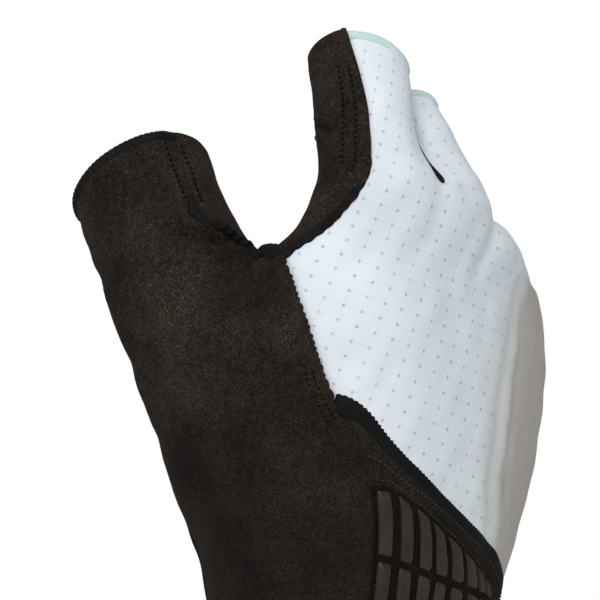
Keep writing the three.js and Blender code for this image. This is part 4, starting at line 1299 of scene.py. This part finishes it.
rib_side = route("hand", [(0, RIB_FOOT_ROW + 0.05), (0, RIB_ROW)])
stitch_rows("rib_stitches", [beside(rib_side, -0.8)])
palm_side = route("hand", [(10, RIB_FOOT_ROW + 0.05), (10, TOP_ROW - 0.05)])
stitch_rows("palm_stitches", [beside(palm_side, 1.2)])

# Plain pale floor, far under the held glove
FLOOR, FLOOR_Z, FLOOR_TONE = 3.0, -0.4, (244, 244, 244)
corners = [(x * FLOOR, y * FLOOR, FLOOR_Z) for x, y in ((-1, -1), (1, -1), (1, 1), (-1, 1))]
floor_mesh = bpy.data.meshes.new("floor")
floor_mesh.from_pydata(corners, [], [(0, 1, 2, 3)])
floor = bpy.data.objects.new("floor", floor_mesh)
floor_mesh.materials.append(Graph("pale_floor").finish(Base_Color=(*srgb(*FLOOR_TONE), 1), Roughness=0.9))
bpy.context.scene.collection.objects.link(floor)

# Soft light from all round: the shares of white from below and from above, and a backdrop seen as white
LIGHT_BELOW, LIGHT_ABOVE, BACKDROP = 0.3, 0.58, 1.0
world = bpy.data.worlds.new("studio")
bpy.context.scene.world = world
world.use_nodes = True
nodes, links = world.node_tree.nodes, world.node_tree.links
background = nodes["Background"]
background.inputs["Color"].default_value = (1.0, 1.0, 1.0, 1.0)
height = nodes.new("ShaderNodeSeparateXYZ")
glow = nodes.new("ShaderNodeMapRange")
level = nodes.new("ShaderNodeMapRange")
glow.inputs["From Min"].default_value = -1.0
glow.inputs["To Min"].default_value = LIGHT_BELOW
glow.inputs["To Max"].default_value = LIGHT_ABOVE
level.inputs["To Max"].default_value = BACKDROP
links.new(nodes.new("ShaderNodeTexCoord").outputs["Generated"], height.inputs[0])
links.new(height.outputs["Z"], glow.inputs["Value"])
links.new(glow.outputs[0], level.inputs["To Min"])
links.new(nodes.new("ShaderNodeLightPath").outputs["Is Camera Ray"], level.inputs["Value"])
links.new(level.outputs[0], background.inputs["Strength"])

# The photo's viewing angle: the way across the picture, the way to the camera and the picture's middle
ACROSS = Vector((0.574, -0.819, 0.0))
TOWARD = Vector((-0.819, -0.574, 0.0))
MIDDLE_HEIGHT, MIDDLE_ACROSS = 0.0827, -0.0105
TARGET = Vector((0, 0, MIDDLE_HEIGHT)) + ACROSS * MIDDLE_ACROSS
PICTURE_WIDTH, CAMERA_DISTANCE, SENSOR, VIEW_END = 0.126, 2.5, 36.0, 50

# A wide soft lamp over the camera: across, toward and up from the picture's middle
LAMP_ACROSS, LAMP_TOWARD, LAMP_UP, LAMP_SIZE, LAMP_POWER = -0.12, 1.0, 0.5, 0.4, 7.2
lamp_data = bpy.data.lights.new("key", "AREA")
lamp_data.shape = "DISK"
lamp_data.size = LAMP_SIZE
lamp_data.energy = LAMP_POWER
lamp = bpy.data.objects.new("key", lamp_data)
lamp.location = TARGET + ACROSS * LAMP_ACROSS + TOWARD * LAMP_TOWARD + Vector((0, 0, LAMP_UP))
lamp.rotation_mode = "QUATERNION"
lamp.rotation_quaternion = (lamp.location - TARGET).to_track_quat("Z", "Y")
bpy.context.scene.collection.objects.link(lamp)

camera_data = bpy.data.cameras.new("camera")
camera_data.sensor_width = SENSOR
camera_data.lens = SENSOR * CAMERA_DISTANCE / PICTURE_WIDTH
camera_data.clip_end = VIEW_END
camera = bpy.data.objects.new("camera", camera_data)
camera.location = TARGET + TOWARD * CAMERA_DISTANCE
camera.rotation_mode = "QUATERNION"
camera.rotation_quaternion = TOWARD.to_track_quat("Z", "Y")
bpy.context.scene.collection.objects.link(camera)
bpy.context.scene.camera = camera
bpy.context.scene.view_settings.view_transform = "Standard"
